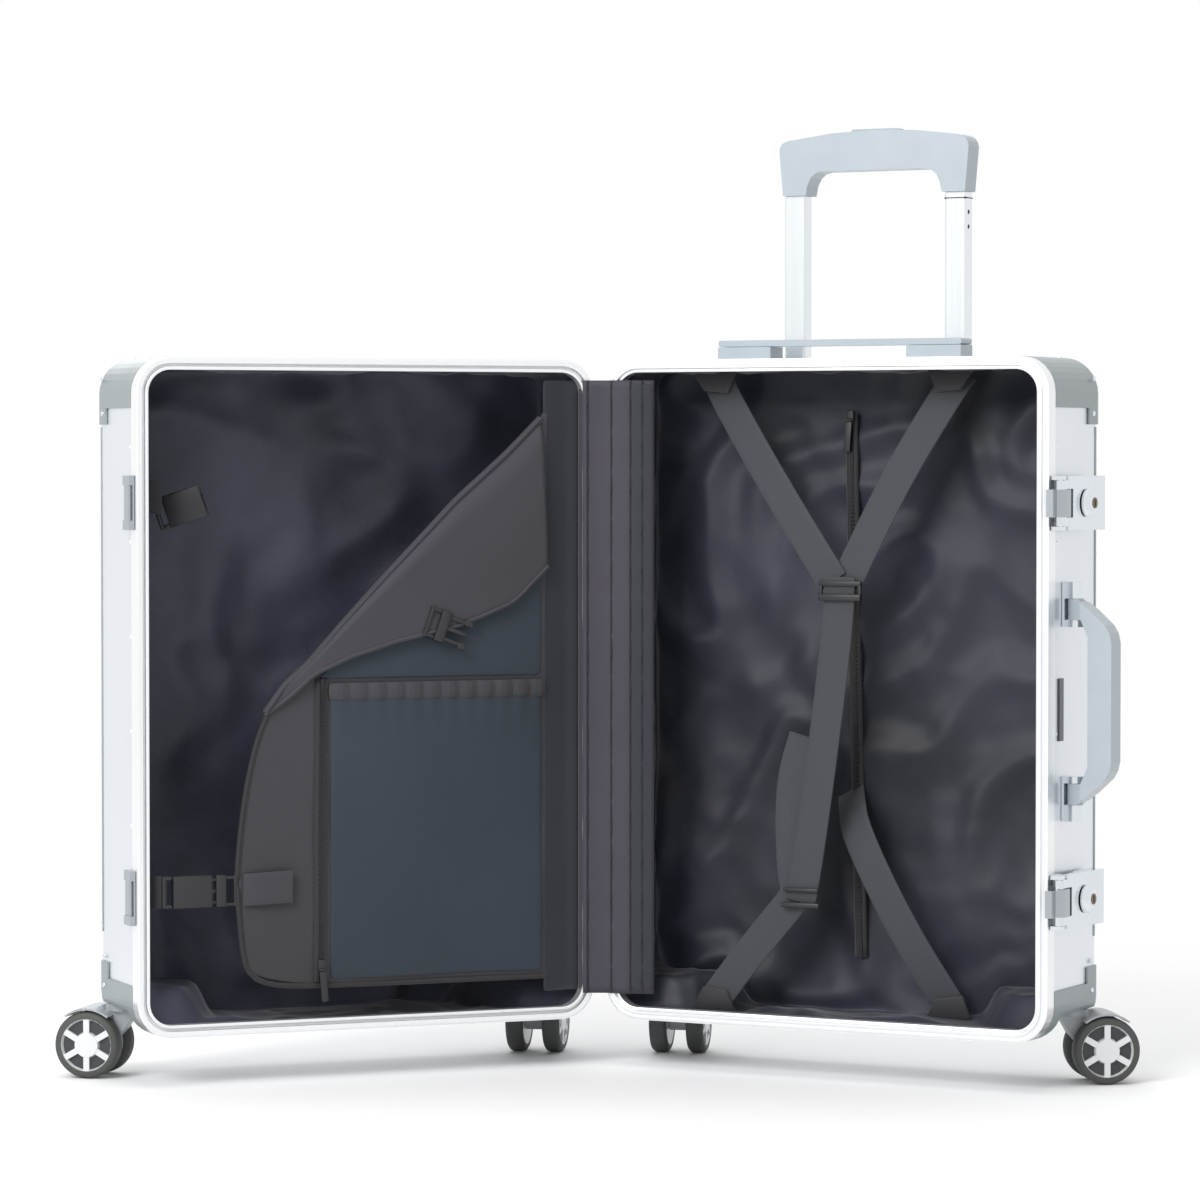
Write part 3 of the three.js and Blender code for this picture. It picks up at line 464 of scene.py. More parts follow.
def make_lining(half, back, seed):
    bm = bmesh.new()
    bmesh.ops.create_cube(bm, size=1)
    low = Vector((INSIDE, FRONT, INSIDE))
    high = Vector((WIDE - INSIDE, back, HIGH - INSIDE))
    bmesh.ops.scale(bm, verts=bm.verts, vec=high - low)
    bmesh.ops.translate(bm, verts=bm.verts, vec=(low + high) / 2)
    front = [f for f in bm.faces if all(v.co.y < FRONT + 1 for v in f.verts)]
    bmesh.ops.delete(bm, geom=front, context="FACES_ONLY")
    for axis, cuts in ((0, 58), (1, 12), (2, 80)):
        split_along(bm, axis, cuts)
    middle = Vector((WIDE / 2, (FRONT + back) / 2, HIGH / 2))
    for v in bm.verts:
        p = v.co.copy()
        rim = min(1, (p.y - FRONT) / 14)
        x, z = rounded_corner(p.x, p.z, INSIDE, WIDE, HIGH, CORNER)
        lift = well_height(x, p.y) * rim
        z += lift * max(0, 1 - (z - INSIDE) / 120)
        fold = crease(Vector((p.x, p.y, p.z)) * 0.011, seed, 1)
        fine = crease(Vector((p.x, p.y, p.z)) * 0.026, seed + 4, 1, 2.4)
        slow = noise.noise(Vector((p.x, p.y, p.z)) * 0.006 + Vector((seed, 1, 2)))
        corner_pull = min(1, min(p.z, HIGH - p.z, p.x + 20, WIDE - p.x + 20) / 90)
        push = rim * (7.5 * fold + (5.5 - 3.0 * corner_pull) * fine + 3.0 * (slow + 0.4))
        on_back = p.y > back - 0.5
        away = Vector((0, -1, 0)) if on_back else (middle - p)
        if not on_back:
            away.y = 0
            side = min(p.x - INSIDE, WIDE - INSIDE - p.x)
            ends = min(p.z - INSIDE, HIGH - INSIDE - p.z)
            away = Vector((1 if p.x < WIDE / 2 else -1, 0, 0)) if side < ends else Vector((0, 0, 1 if p.z < HIGH / 2 else -1))
            push *= 0.55
        v.co = Vector((x, p.y, z)) + away * push
    bottom = [v for v in bm.verts if v.co.y > back - 14]
    for _ in range(3):
        bmesh.ops.smooth_vert(bm, verts=bottom, factor=0.5, use_axis_x=True, use_axis_y=True, use_axis_z=True)
    bmesh.ops.recalc_face_normals(bm, faces=bm.faces)
    bmesh.ops.reverse_faces(bm, faces=bm.faces)
    made = finished(f"{half}_lining_cloth", bm, half, half, lining_cloth[half], closed=False, sharp=180)
    soft = made.modifiers.new("soft_folds", "SUBSURF")
    soft.levels = soft.render_levels = 1
    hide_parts(f"{half}_lining")
    print(made.name, len(made.data.polygons), "faces")
    return made


make_lining("base", 74.8, 3.0)
make_lining("lid", 98.0, 11.0)

# %% [markdown]
# ## Finish of the hard parts
#
# The solids keep their shape and only get their finish. The part's name says what it is made of.

# %% Give each hard part its finish
FINISH_OF = [
    ("keeper", keeper_metal), ("guard", guard_paint), ("housing", guard_paint), ("shell", sheet_metal),
    ("frame", frame_metal), ("hinge_pin", dark_steel), ("hinge_leaf", frame_metal), ("claw", keeper_metal),
    ("latch", polished_metal), ("knob", polished_metal), ("bracket", polished_metal),
    ("side_handle", handle_plastic), ("top_handle", handle_plastic), ("bezel", handle_plastic),
    ("grip", handle_plastic), ("button", handle_plastic), ("trolley_foot", fork_paint),
    ("sleeve", tube_metal), ("stage", tube_metal), ("tip", tube_metal), ("fork", fork_paint),
    ("wheel", hub_plastic), ("seal", seal_silicone), ("name_plate", plate_finish),
    ("lining", lining_cloth["lid"]), ("divider", divider_cloth), ("gusset", spine_cloth), ("strap", strap_webbing),
]
for name, part in parts.items():
    look_of = next(material for word, material in FINISH_OF if word in name)
    part.data.materials.clear()
    part.data.materials.append(look_of)
print("finished", len(parts), "hard parts")

# %% [markdown]
# ## Beads on the frame
#
# The frame is an aluminium extrusion, and its face has an outer step, a groove and a narrow bright
# rim inside. The solid has a flat face, so two shallow beads are laid on it, and on the base a thin
# ring of darker, duller metal paints the groove's shadow. A bead is one profile run up a side, spun
# a quarter turn round the corner's centre, and so on until it meets itself.

# %% Run a profile round the frame
def frame_run(bm, profile, corner=25, steps=7):
    """profile is a closed list of (distance out from the corner's centre, depth)."""
    first = [bm.verts.new((corner - out, depth, corner)) for out, depth in profile]
    loop = [bm.edges.new(pair) for pair in zip(first, first[1:] + first[:1])]
    centre = Vector((corner, 0, HIGH - corner))
    up, across = HIGH - 2 * corner, WIDE - 2 * corner
    runs = [Vector((0, 0, up)), Vector((across, 0, 0)), Vector((0, 0, -up)), Vector((-across, 0, 0))]
    for i, run in enumerate(runs):
        grown = bmesh.ops.extrude_edge_only(bm, edges=loop)["geom"]
        moved = [g for g in grown if isinstance(g, bmesh.types.BMVert)]
        bmesh.ops.translate(bm, verts=moved, vec=run)
        loop = [g for g in grown if isinstance(g, bmesh.types.BMEdge) and all(v in moved for v in g.verts)]
        spun = bmesh.ops.spin(
            bm, geom=loop, cent=centre, axis=(0, 1, 0), dvec=(0, 0, 0), angle=math.pi / 2,
            steps=steps, use_merge=False, use_duplicate=False,
        )["geom_last"]
        last = [g for g in spun if isinstance(g, bmesh.types.BMVert)]
        loop = [g for g in spun if isinstance(g, bmesh.types.BMEdge) and all(v in last for v in g.verts)]
        centre = centre + runs[(i + 1) % 4]


# %% Lay the beads
def bead(half, name, inset, wide, proud, material):
    bm = bmesh.new()
    out = 25 - inset
    front = 0.25 - proud
    lip = min(0.5, wide / 3)
    profile = [(out, 0.6), (out, front + 0.25), (out - lip, front), (out - wide + lip, front),
               (out - wide, front + 0.25), (out - wide, 0.6)]
    frame_run(bm, profile)
    made = finished(f"{half}_frame_{name}", bm, half, half, material)
    print(made.name, len(made.data.polygons), "faces")


for half in ("base", "lid"):
    bead(half, "outer_step", -1.2, 3.0, 0.2, frame_metal)
    bead(half, "inner_rim", 5.7, 2.2, 0.2, frame_metal)
    bm = bmesh.new()
    block(bm, (WIDE - 0.1, 93.6, 70), (WIDE + 0.5, 96.4, HIGH - 50), 0.2)
    block(bm, (-0.5, 93.6, 70), (0.1, 96.4, HIGH - 50), 0.2)
    block(bm, (40, 93.6, HIGH - 0.1), (WIDE - 50, 96.4, HIGH + 0.5), 0.2)
    finished(f"{half}_edge_binding", bm, half, half, guard_paint)
# painted shadow: a thin dark ring, just proud of the face, stands for the groove's shade, on the base only
bead("base", "groove", 5.25, 0.4, 0.1, shadow_line)

# %% [markdown]
# ## Rivets
#
# The sheet is riveted to its edges about every seventy millimetres, and each corner guard is held
# by two or three more. A rivet's head is a small squashed ball, and those of a half are two meshes,
# one on the sheet and one on the guards.

# %% Set the rivets
for half in ("base", "lid"):
    bm = bmesh.new()
    for z in range(75, 440, 70):
        dome(bm, (WIDE, 97, z), (1, 0, 0), 1.7)
        dome(bm, (WIDE, 20, z + 10), (1, 0, 0), 1.5)
        dome(bm, (0, 97, z), (-1, 0, 0), 1.7)
    for x in range(60, 320, 60):
        dome(bm, (x, 97, HIGH), (0, 0, 1), 1.7)
        dome(bm, (x, 97, 0), (0, 0, -1), 1.7)
    finished(f"{half}_sheet_rivets", bm, half, half, frame_metal)
    bm = bmesh.new()
    for z in (HIGH - 14, HIGH - 40):
        dome(bm, (WIDE + 1.7, 88, z), (1, 0, 0), 2.1)
    for z in (52, 30):
        dome(bm, (WIDE + 1.7, 88, z), (1, 0, 0), 2.1)
    for x in (20, WIDE - 26):
        dome(bm, (x, 88, HIGH + 1.7), (0, 0, 1), 2.1)
        for z in (40, HIGH - 30):
            dome(bm, (x, DEEP + 1.7, z), (0, 1, 0), 2.1)
    finished(f"{half}_guard_rivets", bm, half, half, polished_metal)
print("rivets set")

# %% [markdown]
# ## The divider
#
# A padded panel closes the lid half. It is bound with piping, hinged at the spine, and its upper
# corner has fallen forward, so its back shows as a long flap. Row by row, the panel reaches from the
# spine to an outline; a grid laid between the two is smoother than a filled polygon.

# %% The panel's outline and its grid
def along_points(points, height):
    """The first coordinate of a line of (u, z) points at a height."""
    for (u0, z0), (u1, z1) in zip(points, points[1:]):
        if z0 <= height <= z1:
            return u0 + (u1 - u0) * (height - z0) / max(z1 - z0, 1e-6)
    return points[-1][0]


PANEL_EDGE = [(217, 32), (252, 33.5), (268, 38), (276, 46), (280, 62), (284, 113), (281, 150), (275, 190),
              (266, 225), (252, 250), (228, 272), (180, 320), (120, 382), (40, 456), (38, 471)]
SPINE_EDGE = 38


def panel_depth(u, z):
    """The panel bellies a little towards the viewer and sags at its free edge."""
    belly = math.sin(math.pi * min(1, max(0, (u - 30) / 260))) * math.sin(math.pi * min(1, max(0, z / 470)))
    soft = noise.noise(Vector((u, z, 5)) * 0.012)
    return 5.0 - 3.2 * belly - 1.2 * soft


def lay_panel(s, t):
    z = 32 + (462 - 32) * t
    edge = along_points(PANEL_EDGE, z)
    u = SPINE_EDGE - 2 + (edge - SPINE_EDGE + 2) * s
    return Vector((u, panel_depth(u, z), z))


panel = cloth("divider_panel_sheet", (250, 430), (36, 60), lay_panel, "lid", "divider", divider_cloth, thick=2.4)
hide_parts("divider_panel")
print(panel.name)

# %% [markdown]
# ## Piping, tubes and bindings
#
# A bound edge is a thin roll that follows the outline. A curve with a round bevel would do, but a
# mesh tube keeps its finish and its place: a small ring of points is pushed along the line, one
# extrusion a step.

# %% A roll along a line of points
def smooth_line(points, step=6):
    """Points every few millimetres along a line, with its corners eased."""
    line = [Vector(p) for p in points]
    for _ in range(2):
        eased = [line[0]]
        for a, b in zip(line, line[1:]):
            eased += [a.lerp(b, 0.25), a.lerp(b, 0.75)]
        line = eased + [line[-1]]
    out = [line[0]]
    for p in line[1:]:
        if (p - out[-1]).length >= step:
            out.append(p)
    if (line[-1] - out[-1]).length > 1:
        out.append(line[-1])
    return out


def roll(bm, points, radius, sides=8, flat=1.0):
    """A closed tube along the points; flat squashes it across its depth."""
    ring = bmesh.ops.create_circle(bm, cap_ends=True, segments=sides, radius=radius)["verts"]
    face = ring[0].link_faces[0]
    rest = [v.co.copy() for v in face.verts]
    def settle(verts, i):
        ahead = points[min(i + 1, len(points) - 1)] - points[max(i - 1, 0)]
        turn = ahead.to_track_quat("Z", "Y").to_matrix()
        for v, r in zip(verts, rest):
            out = turn @ r
            v.co = points[i] + Vector((out.x, out.y * flat, out.z))
    settle(face.verts, 0)
    for i in range(1, len(points)):
        face = bmesh.ops.extrude_face_region(bm, geom=[face])["geom"]
        face = next(g for g in face if isinstance(g, bmesh.types.BMFace))
        settle(face.verts, i)
    return bm


# %% Bind the panel
bm = bmesh.new()
edge_line = [(u, z) for u, z in [(36, 32)] + PANEL_EDGE[:11]]
roll(bm, smooth_line([(u, panel_depth(u, z) - 1.0, z) for u, z in edge_line]), 2.0)
finished("divider_piping", bm, "lid", "divider", binding_cloth)
print("piping bound")

# %% [markdown]
# ## The fallen flap
#
# The free upper corner has folded forward along a slanting crease from the spine's top to the outer
# edge. The flap is a sheet that leaves the crease in a soft roll and hangs down in front of the
# panel, standing a little proud of it.

# %% Lay the flap over
CREASE = [(262, 238), (247, 258), (228, 274), (200, 305), (160, 346), (110, 396), (70, 430), (42, 457)]
HANGING = [(262, 236), (243, 250), (226, 266), (196, 279), (160, 290), (110, 301), (66, 318), (38, 345)]


def lay_flap(s, t):
    i = min(int(s * 7), 6)
    share = s * 7 - i
    top = Vector(CREASE[i]).lerp(Vector(CREASE[i + 1]), share)
    low = Vector(HANGING[i]).lerp(Vector(HANGING[i + 1]), share)
    roll_out = math.sin(min(1, t * 5) * math.pi / 2)
    point = low.lerp(top, 1 - t)
    wave = noise.noise(Vector((point.x, point.y, 9)) * 0.02)
    depth = panel_depth(point.x, point.y) - 1.5 - 5.5 * roll_out * min(1, s * 3) - 1.6 * wave - 2.0 * t * s
    return Vector((point.x, depth, point.y))


flap = cloth("divider_flap", (300, 110), (56, 20), lay_flap, "lid", "divider", divider_cloth, thick=2.0)
bm = bmesh.new()
hem = [lay_flap(i / 40, 1.0) for i in range(41)]
roll(bm, smooth_line([(p.x, p.y - 0.4, p.z) for p in hem]), 1.7)
crest = [lay_flap(i / 40, 0.0) for i in range(41)]
roll(bm, smooth_line([(p.x, p.y - 1.4, p.z) for p in crest]), 2.6)
finished("divider_flap_hem", bm, "lid", "divider", divider_cloth)
print("flap laid")

# %% [markdown]
# ## The pocket
#
# A smooth slate pocket is sewn to the panel. Elastic in its top hem gathers the cloth into small
# puckers that die out downwards, and the pocket stands out slightly where it isn't sewn.

# %% Sew the pocket
def lay_pocket(s, t):
    z = 37 + (258 - 37) * t
    u = 41 + (211 - 41) * s
    puff = math.sin(math.pi * s) ** 0.6 * (0.6 + 2.6 * t)
    pucker = 0.7 * math.sin(s * 74) * max(0, t - 0.82) / 0.18
    soft = noise.noise(Vector((u, z, 1)) * 0.014) * 1.4
    return Vector((u, panel_depth(u, z) - 1.9 - puff - pucker - soft, z))


pocket = cloth("divider_pocket", (176, 222), (40, 44), lay_pocket, "lid", "divider", pocket_cloth, thick=0.8)


def lay_upper_window(s, t):
    z = 262 + 84 * t
    u = 41 + (222 - 41 - 98 * t) * s
    return Vector((u, panel_depth(u, z) - 1.7, z))


window = cloth("divider_back_cloth", (181, 84), (24, 14), lay_upper_window, "lid", "divider", pocket_cloth, thick=0.6)
bm = bmesh.new()
hem = [lay_pocket(i / 60, 0.975) for i in range(61)]
roll(bm, [Vector((p.x, p.y - 0.4, p.z)) for p in hem], 6.6, sides=12, flat=0.22)
finished("divider_pocket_hem", bm, "lid", "divider", divider_cloth)
print("pocket sewn")

# %% [markdown]
# ## Zips
#
# A zip is a flat tape with a row of small teeth down its middle, stitched along both sides. The
# teeth are short blocks; there are a lot of them, so each has only six faces.

# %% A zip with its slider and puller
def zip_run(name, half, body, line, depth, tape=10, pull_at=0.0):
    points = smooth_line([(u, depth(u, z), z) for u, z in line], 5)
    def lay(s, t):
        place = t * (len(points) - 1)
        i = min(int(place), len(points) - 2)
        p = points[i].lerp(points[i + 1], place - i)
        return p + Vector(((s - 0.5) * tape, -0.5 - 0.5 * math.sin(math.pi * s), 0))
    length = sum((b - a).length for a, b in zip(points, points[1:]))
    made = cloth(name + "_tape", (tape, length), (4, len(points)), lay, half, body, zip_tape, thick=0.5, rounds=0)
    length * MM
    bm = bmesh.new()
    count = int(length / 2.6)
    for k in range(count):
        p = lay(0.5, (k + 0.5) / count)
        block(bm, p + Vector((-1.4, -1.1, -0.65)), p + Vector((1.4, 0.5, 0.65)))
    finished(name + "_teeth", bm, half, body, zip_metal)
    bm = bmesh.new()
    p = lay(0.5, pull_at)
    block(bm, p + Vector((-3.0, -3.4, -4.6)), p + Vector((3.0, -0.7, 4.6)), 1.0)
    rod(bm, p + Vector((-2.2, -4.0, -3)), p + Vector((2.2, -4.0, -3)), 0.9, 10)
    tag = block(bm, p + Vector((-2.7, -4.7, -27)), p + Vector((2.7, -3.2, -4)), 0.7)
    bmesh.ops.rotate(bm, verts=tag, cent=p, matrix=Matrix.Rotation(0.08, 3, "Y"))
    finished(name + "_puller", bm, half, body, dark_plastic)
    print(name, round(length), "mm,", count, "teeth")


zip_run("divider_zip", "lid", "divider", [(219, 36), (219, 150), (218, 262)],
        lambda u, z: panel_depth(u, z) - 2.2, pull_at=0.12)
zip_run("base_zip", "base", "base", [(183, 48), (179, 200), (176, 340), (174, 462)],
        lambda u, z: 66.5, pull_at=0.97)

# %% [markdown]
# ## The cloth over the spine
#
# One strip of twill runs from the base's lining, over the hinge gap, to the divider's edge. It is
# laid in the room's own space along a line whose base side is placed in the base's space and whose
# lid side in the lid's, as the halves stand now; it rides on neither half.

# %% Spine strip
def across(half, u, depth):
    return SPACE[half] @ Vector((u, depth, 0)) / MM


SPINE_LINE = [across("base", 36, 7), across("base", 26, 3.2), across("base", 12, -1.6), across("base", 3, -2.2),
              Vector((0, pin_axis.y / MM - 5.5, 38)), across("lid", 3, -2.2), across("lid", 6, -1.6),
              across("lid", 8.1, 0.6), across("lid", 8.3, 7.2)]
spine_points = smooth_line([(p.x, p.y, 0) for p in SPINE_LINE], 2.5)


def lay_spine(s, t):
    place = s * (len(spine_points) - 1)
    i = min(int(place), len(spine_points) - 2)
    p = spine_points[i].lerp(spine_points[i + 1], place - i)
    z = 18 + (486 - 18) * t + GROUND
    ripple = 0.8 * noise.noise(Vector((p.x * 0.12, 0, z * 0.016)))
    return Vector((p.x, p.y - abs(ripple), z)) * MM


spine_length = sum((b - a).length for a, b in zip(spine_points, spine_points[1:]))
SPACE["room"] = Matrix.Identity(4)
spine = cloth("spine_strip", (spine_length, 468), (26, 90), lay_spine, "room", None, spine_cloth, thick=0, rounds=0)
spine_wall = spine.modifiers.new("cloth_thickness", "SOLIDIFY")
spine_wall.thickness, spine_wall.offset = 0.9 * MM, 0
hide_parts("spine_gusset")
spine_length * MM
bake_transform(spine)
print("spine strip", round(spine_length), "mm wide")


def lay_base_hem(s, t):
    u = 19 + 17 * s
    return Vector((u, -2.4 + (u - 12) * 0.35 - 0.7 * math.sin(math.pi * s), 20 + 464 * t))


base_hem = cloth("base_spine_hem", (18, 464), (6, 70), lay_base_hem, "base", "base", hem_cloth, thick=1.0)
bm = bmesh.new()
for half, u, depth in (("base", 4.5, -3.2), ("base", 19.4, -0.4), ("base", 28.2, 2.0), ("lid", 5.3, -2.7)):
    seam = across(half, u, depth)
    roll(bm, [Vector((seam.x, seam.y + 0.3 * math.sin(z * 0.2), z + GROUND)) * MM for z in range(18, 487, 6)],
         0.8 * MM, 6)
seams = finished("spine_seams", bm, "room", None, binding_cloth, closed=False)
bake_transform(seams)


def lay_divider_hem(s, t):
    z = 20 + (486 - 20) * t
    u = 8.6 + 30.4 * s
    forward = 4.6 * max(0, (u - 19) / 20)
    return Vector((u, 8.3 - forward - 0.5 * s * noise.noise(Vector((u, z, 3)) * 0.02), z))


hem_strip = cloth("divider_spine_hem", (31, 466), (10, 70), lay_divider_hem, "lid", "divider", hem_cloth, thick=1.0)

# %% [markdown]
# ## Webbing
#
# The packing straps are flat webbing, twenty-five millimetres wide. A strip is a line of points
# with a width, and its own map runs along it in metres, so the weave follows every bend.

# %% A strap along a line
def strap(name, half, body, line, wide=25, material=None, across_to=None, thick=1.4):
    points = smooth_line(line, 7)
    def lay(s, t):
        place = t * (len(points) - 1)
        i = min(int(place), len(points) - 2)
        p = points[i].lerp(points[i + 1], place - i)
        ahead = points[i + 1] - points[i]
        side = across_to or Vector((ahead.z, 0, -ahead.x)).normalized()
        return p + side * (s - 0.5) * wide
    length = sum((b - a).length for a, b in zip(points, points[1:]))
    made = cloth(name, (wide, length), (6, len(points)), lay, half, body, material or strap_webbing, thick, 0)
    edge = made.modifiers.new("woven_edge", "BEVEL")
    edge.width, edge.segments, edge.limit_method = 0.4 * MM, 2, "ANGLE"
    length * MM
    print(name, round(length), "mm")
    return made


upper_left = strap("cross_strap_upper_spine", "base", "base",
                   [(72, 44, 490), (79, 36, 478), (128, 24, 408), (180, 20, 334)])
strap("cross_strap_upper_latch", "base", "base",
      [(274, 44, 490), (268, 36, 478), (230, 26, 414), (190, 22, 334)])
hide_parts("cross_strap")
strap("cross_strap_band", "base", "base",
      [(186, 19, 338), (184, 20, 300), (172, 20.5, 210), (160, 21, 130), (152, 23, 92)])
strap("cross_strap_tail", "base", "base",
      [(152, 26, 88), (144, 27, 106), (140, 30, 145), (140, 33, 185), (149, 36, 217)])
strap("cross_strap_lower_spine", "base", "base",
      [(153, 24, 104), (140, 26, 88), (108, 27, 52), (78, 27, 14)])
strap("cross_strap_lower_latch", "base", "base",
      [(170, 74, 178), (179, 56, 165), (191, 38, 144), (228, 42, 72), (262, 50, 18)])

# %% Buckles and keepers on the packing straps
bm = bmesh.new()
for low, high in (((169, 16.5, 331), (204, 20.5, 335)), ((169, 15.5, 320), (204, 20.5, 325)),
                  ((169, 17, 321), (172, 20, 334)), ((201, 17, 321), (204, 20, 334))):
    block(bm, low, high, 1.0)
finished("cross_strap_join_buckle", bm, "base", "base", dark_plastic)
bm = bmesh.new()
block(bm, (137, 18.5, 88), (169, 22.5, 92), 1.2)
block(bm, (139, 18.8, 100), (168, 21.8, 103), 1.0)
finished("cross_strap_slider", bm, "base", "base", dark_plastic)


def corner_tab(name, points):
    bm = bmesh.new()
    face = bm.faces.new([bm.verts.new(p) for p in points])
    grown = bmesh.ops.extrude_face_region(bm, geom=[face])["geom"]
    bmesh.ops.translate(bm, verts=[g for g in grown if isinstance(g, bmesh.types.BMVert)], vec=(0, 3, 0))
    bmesh.ops.bevel(bm, geom=list(bm.edges), offset=0.8, segments=2, affect="EDGES", profile=0.5, material=-1)
    finished(name, bm, "base", "base", black_webbing)


corner_tab("strap_tab_upper_spine", [(54, 34, 494), (92, 34, 494), (86, 32, 476), (66, 32, 478)])
corner_tab("strap_tab_upper_latch", [(250, 34, 494), (288, 34, 494), (278, 32, 478), (258, 32, 476)])
corner_tab("strap_tab_lower_spine", [(60, 24, 6), (96, 24, 6), (90, 22, 22), (70, 22, 24)])
corner_tab("strap_tab_lower_latch", [(246, 44, 8), (282, 44, 8), (276, 42, 26), (254, 42, 22)])
print("strap fittings made")

# %% [markdown]
# ## The divider's clips
#
# Two side-release buckles hold the divider shut. The lower one is done up. Of the upper one, the
# socket hangs from the lid's wall and the prongs hang from the fallen flap. A socket is a hollow
# block with open sides; the plug is a plate with two springy prongs and a guide between them.

# %% Sockets and plugs
def socket_half(bm, centre, turn):
    start = len(bm.verts)
    block(bm, (-15, -3.6, -12), (15, -2.2, 12), 0.8)
    block(bm, (-15, 2.2, -12), (15, 3.6, 12), 0.8)
    block(bm, (-15, -3, -12), (-9, 3, 12), 0.8)
    block(bm, (-15, -3, -3.4), (15, 3, -2.0))
    block(bm, (-15, -3, 2.0), (15, 3, 3.4))
    block(bm, (-21, -1.6, -12), (-15, 1.6, -9), 0.8)
    block(bm, (-21, -1.6, 9), (-15, 1.6, 12), 0.8)
    block(bm, (-23, -1.8, -12), (-20, 1.8, 12), 0.8)
    bm.verts.ensure_lookup_table()
    bmesh.ops.transform(bm, matrix=Matrix.Translation(centre) @ turn, verts=bm.verts[start:])


def plug_half(bm, centre, turn):
    start = len(bm.verts)
    block(bm, (-3, -3, -12), (5, 3, 12), 1.0)
    block(bm, (11, -1.8, -12), (14, 1.8, 12), 0.8)
    for z in (-11, 9):
        block(bm, (4, -1.6, z), (12, 1.6, z + 2.4), 0.6)
    block(bm, (-20, -1.4, -1.6), (-2, 1.4, 1.6), 0.6)
    for side in (-1, 1):
        block(bm, (-17, -1.6, side * 8.4 - 1.3), (-2, 1.6, side * 8.4 + 1.3), 0.6)
        block(bm, (-22, -1.9, side * 8.9 - 2.6), (-15, 1.9, side * 8.9 + 2.2), 1.0)
    bm.verts.ensure_lookup_table()
    bmesh.ops.transform(bm, matrix=Matrix.Translation(centre) @ turn, verts=bm.verts[start:])


flat_turn = Matrix.Identity(4)
mirrored = Matrix.Rotation(math.pi, 4, "Y")
bm = bmesh.new()
socket_half(bm, Vector((318, 6, 106)), mirrored)
finished("lower_clip_socket", bm, "lid", "lid", dark_plastic)
bm = bmesh.new()
plug_half(bm, Vector((297, 5.5, 106)), mirrored)
finished("lower_clip_plug", bm, "lid", "divider", dark_plastic)
strap("lower_clip_strap", "lid", "lid", [(352, 30, 106), (350, 18, 106), (345, 9, 106), (337, 6.5, 106)], 24,
      black_webbing, Vector((0, 0, 1)))
strap("lower_clip_tail", "lid", "divider", [(279, 2.6, 106), (266, -0.6, 107), (242, -2.6, 108)], 24,
      divider_cloth, Vector((0, 0, 1)), 2.0)
bm = bmesh.new()
socket_half(bm, Vector((312, 40, 391)), Matrix.Rotation(0.35, 4, "Y") @ Matrix.Rotation(0.5, 4, "Z") @ mirrored)
finished("upper_clip_socket", bm, "lid", "lid", dark_plastic)
strap("upper_clip_strap", "lid", "lid", [(354, 52, 402), (346, 46, 401), (336, 41, 398), (330, 40, 396)], 24,
      black_webbing, Vector((0, 0, 1)))
bm = bmesh.new()
plug_half(bm, Vector((124, -7, 300)), Matrix.Rotation(-0.35, 4, "Y"))
finished("upper_clip_plug", bm, "lid", "divider", dark_plastic)
print("clips made")

# %% [markdown]
# ## Tyres
#
# Each wheel is a pale spoked disc with a dark tyre. The solid has both in one, so the tyre is a
# new ring spun round the wheel's own axle, just proud of the solid's tread. A thin dark disc on each
# side, between hub and tyre, is painted shade in the wheel's hollow sides.

# %% Spin a tyre round each wheel
def tyre(name):
    part = parts[name]
    low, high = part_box(name)
    centre = (low + high) / 2
    points = [v.co - centre for v in part.data.vertices]
    normal = Vector((1, 0, 0))
    best = 1.0
    for step in range(180):
        a = math.radians(step)
        axis = Vector((math.cos(a), math.sin(a), 0))
        reach = max(abs(p.dot(axis)) for p in points)
        if reach < best:
            best, normal = reach, axis
    outer, inner, half_wide = 0.0251, 0.0196, best + 0.0002
    bm = bmesh.new()
    profile = [(inner, -half_wide), (outer - 0.0022, -half_wide), (outer - 0.0006, -half_wide + 0.0012),
               (outer, -half_wide + 0.003), (outer, half_wide - 0.003), (outer - 0.0006, half_wide - 0.0012),
               (outer - 0.0022, half_wide), (inner, half_wide)]
    verts = [bm.verts.new(centre + Vector((0, 0, r)) + normal * w) for r, w in profile]
    edges = [bm.edges.new(pair) for pair in zip(verts, verts[1:] + verts[:1])]
    bmesh.ops.spin(bm, geom=edges, cent=centre, axis=normal, dvec=(0, 0, 0), angle=2 * math.pi,
                   steps=64, use_merge=True, use_duplicate=False)
    bm.transform(Matrix.Scale(1 / MM, 4))
    SPACE["metres"] = Matrix.Scale(MM, 4)
    finished(name + "_tyre", bm, "metres", name, tyre_rubber)
    # painted shade: a thin dark disc on each side, from the hub out to the tyre, darkens the wheel's hollow
    for side in (-1, 1):
        bm = bmesh.new()
        pit = [(0.0093, 0.00355), (0.0193, 0.00355), (0.0193, 0.0038), (0.0093, 0.0038)]
        verts = [bm.verts.new(centre + Vector((0, 0, r)) + normal * w * side) for r, w in pit]
        edges = [bm.edges.new(pair) for pair in zip(verts, verts[1:] + verts[:1])]
        bmesh.ops.spin(bm, geom=edges, cent=centre, axis=normal, dvec=(0, 0, 0), angle=2 * math.pi,
                       steps=48, use_merge=True, use_duplicate=False)
        bm.transform(Matrix.Scale(1 / MM, 4))
        finished(f"{name}_pit_{'in' if side < 0 else 'out'}", bm, "metres", name, pit_painted_shade)


wheels = [name for name in parts if "wheel" in name]
for name in wheels:
    tyre(name)
print(len(wheels), "tyres")

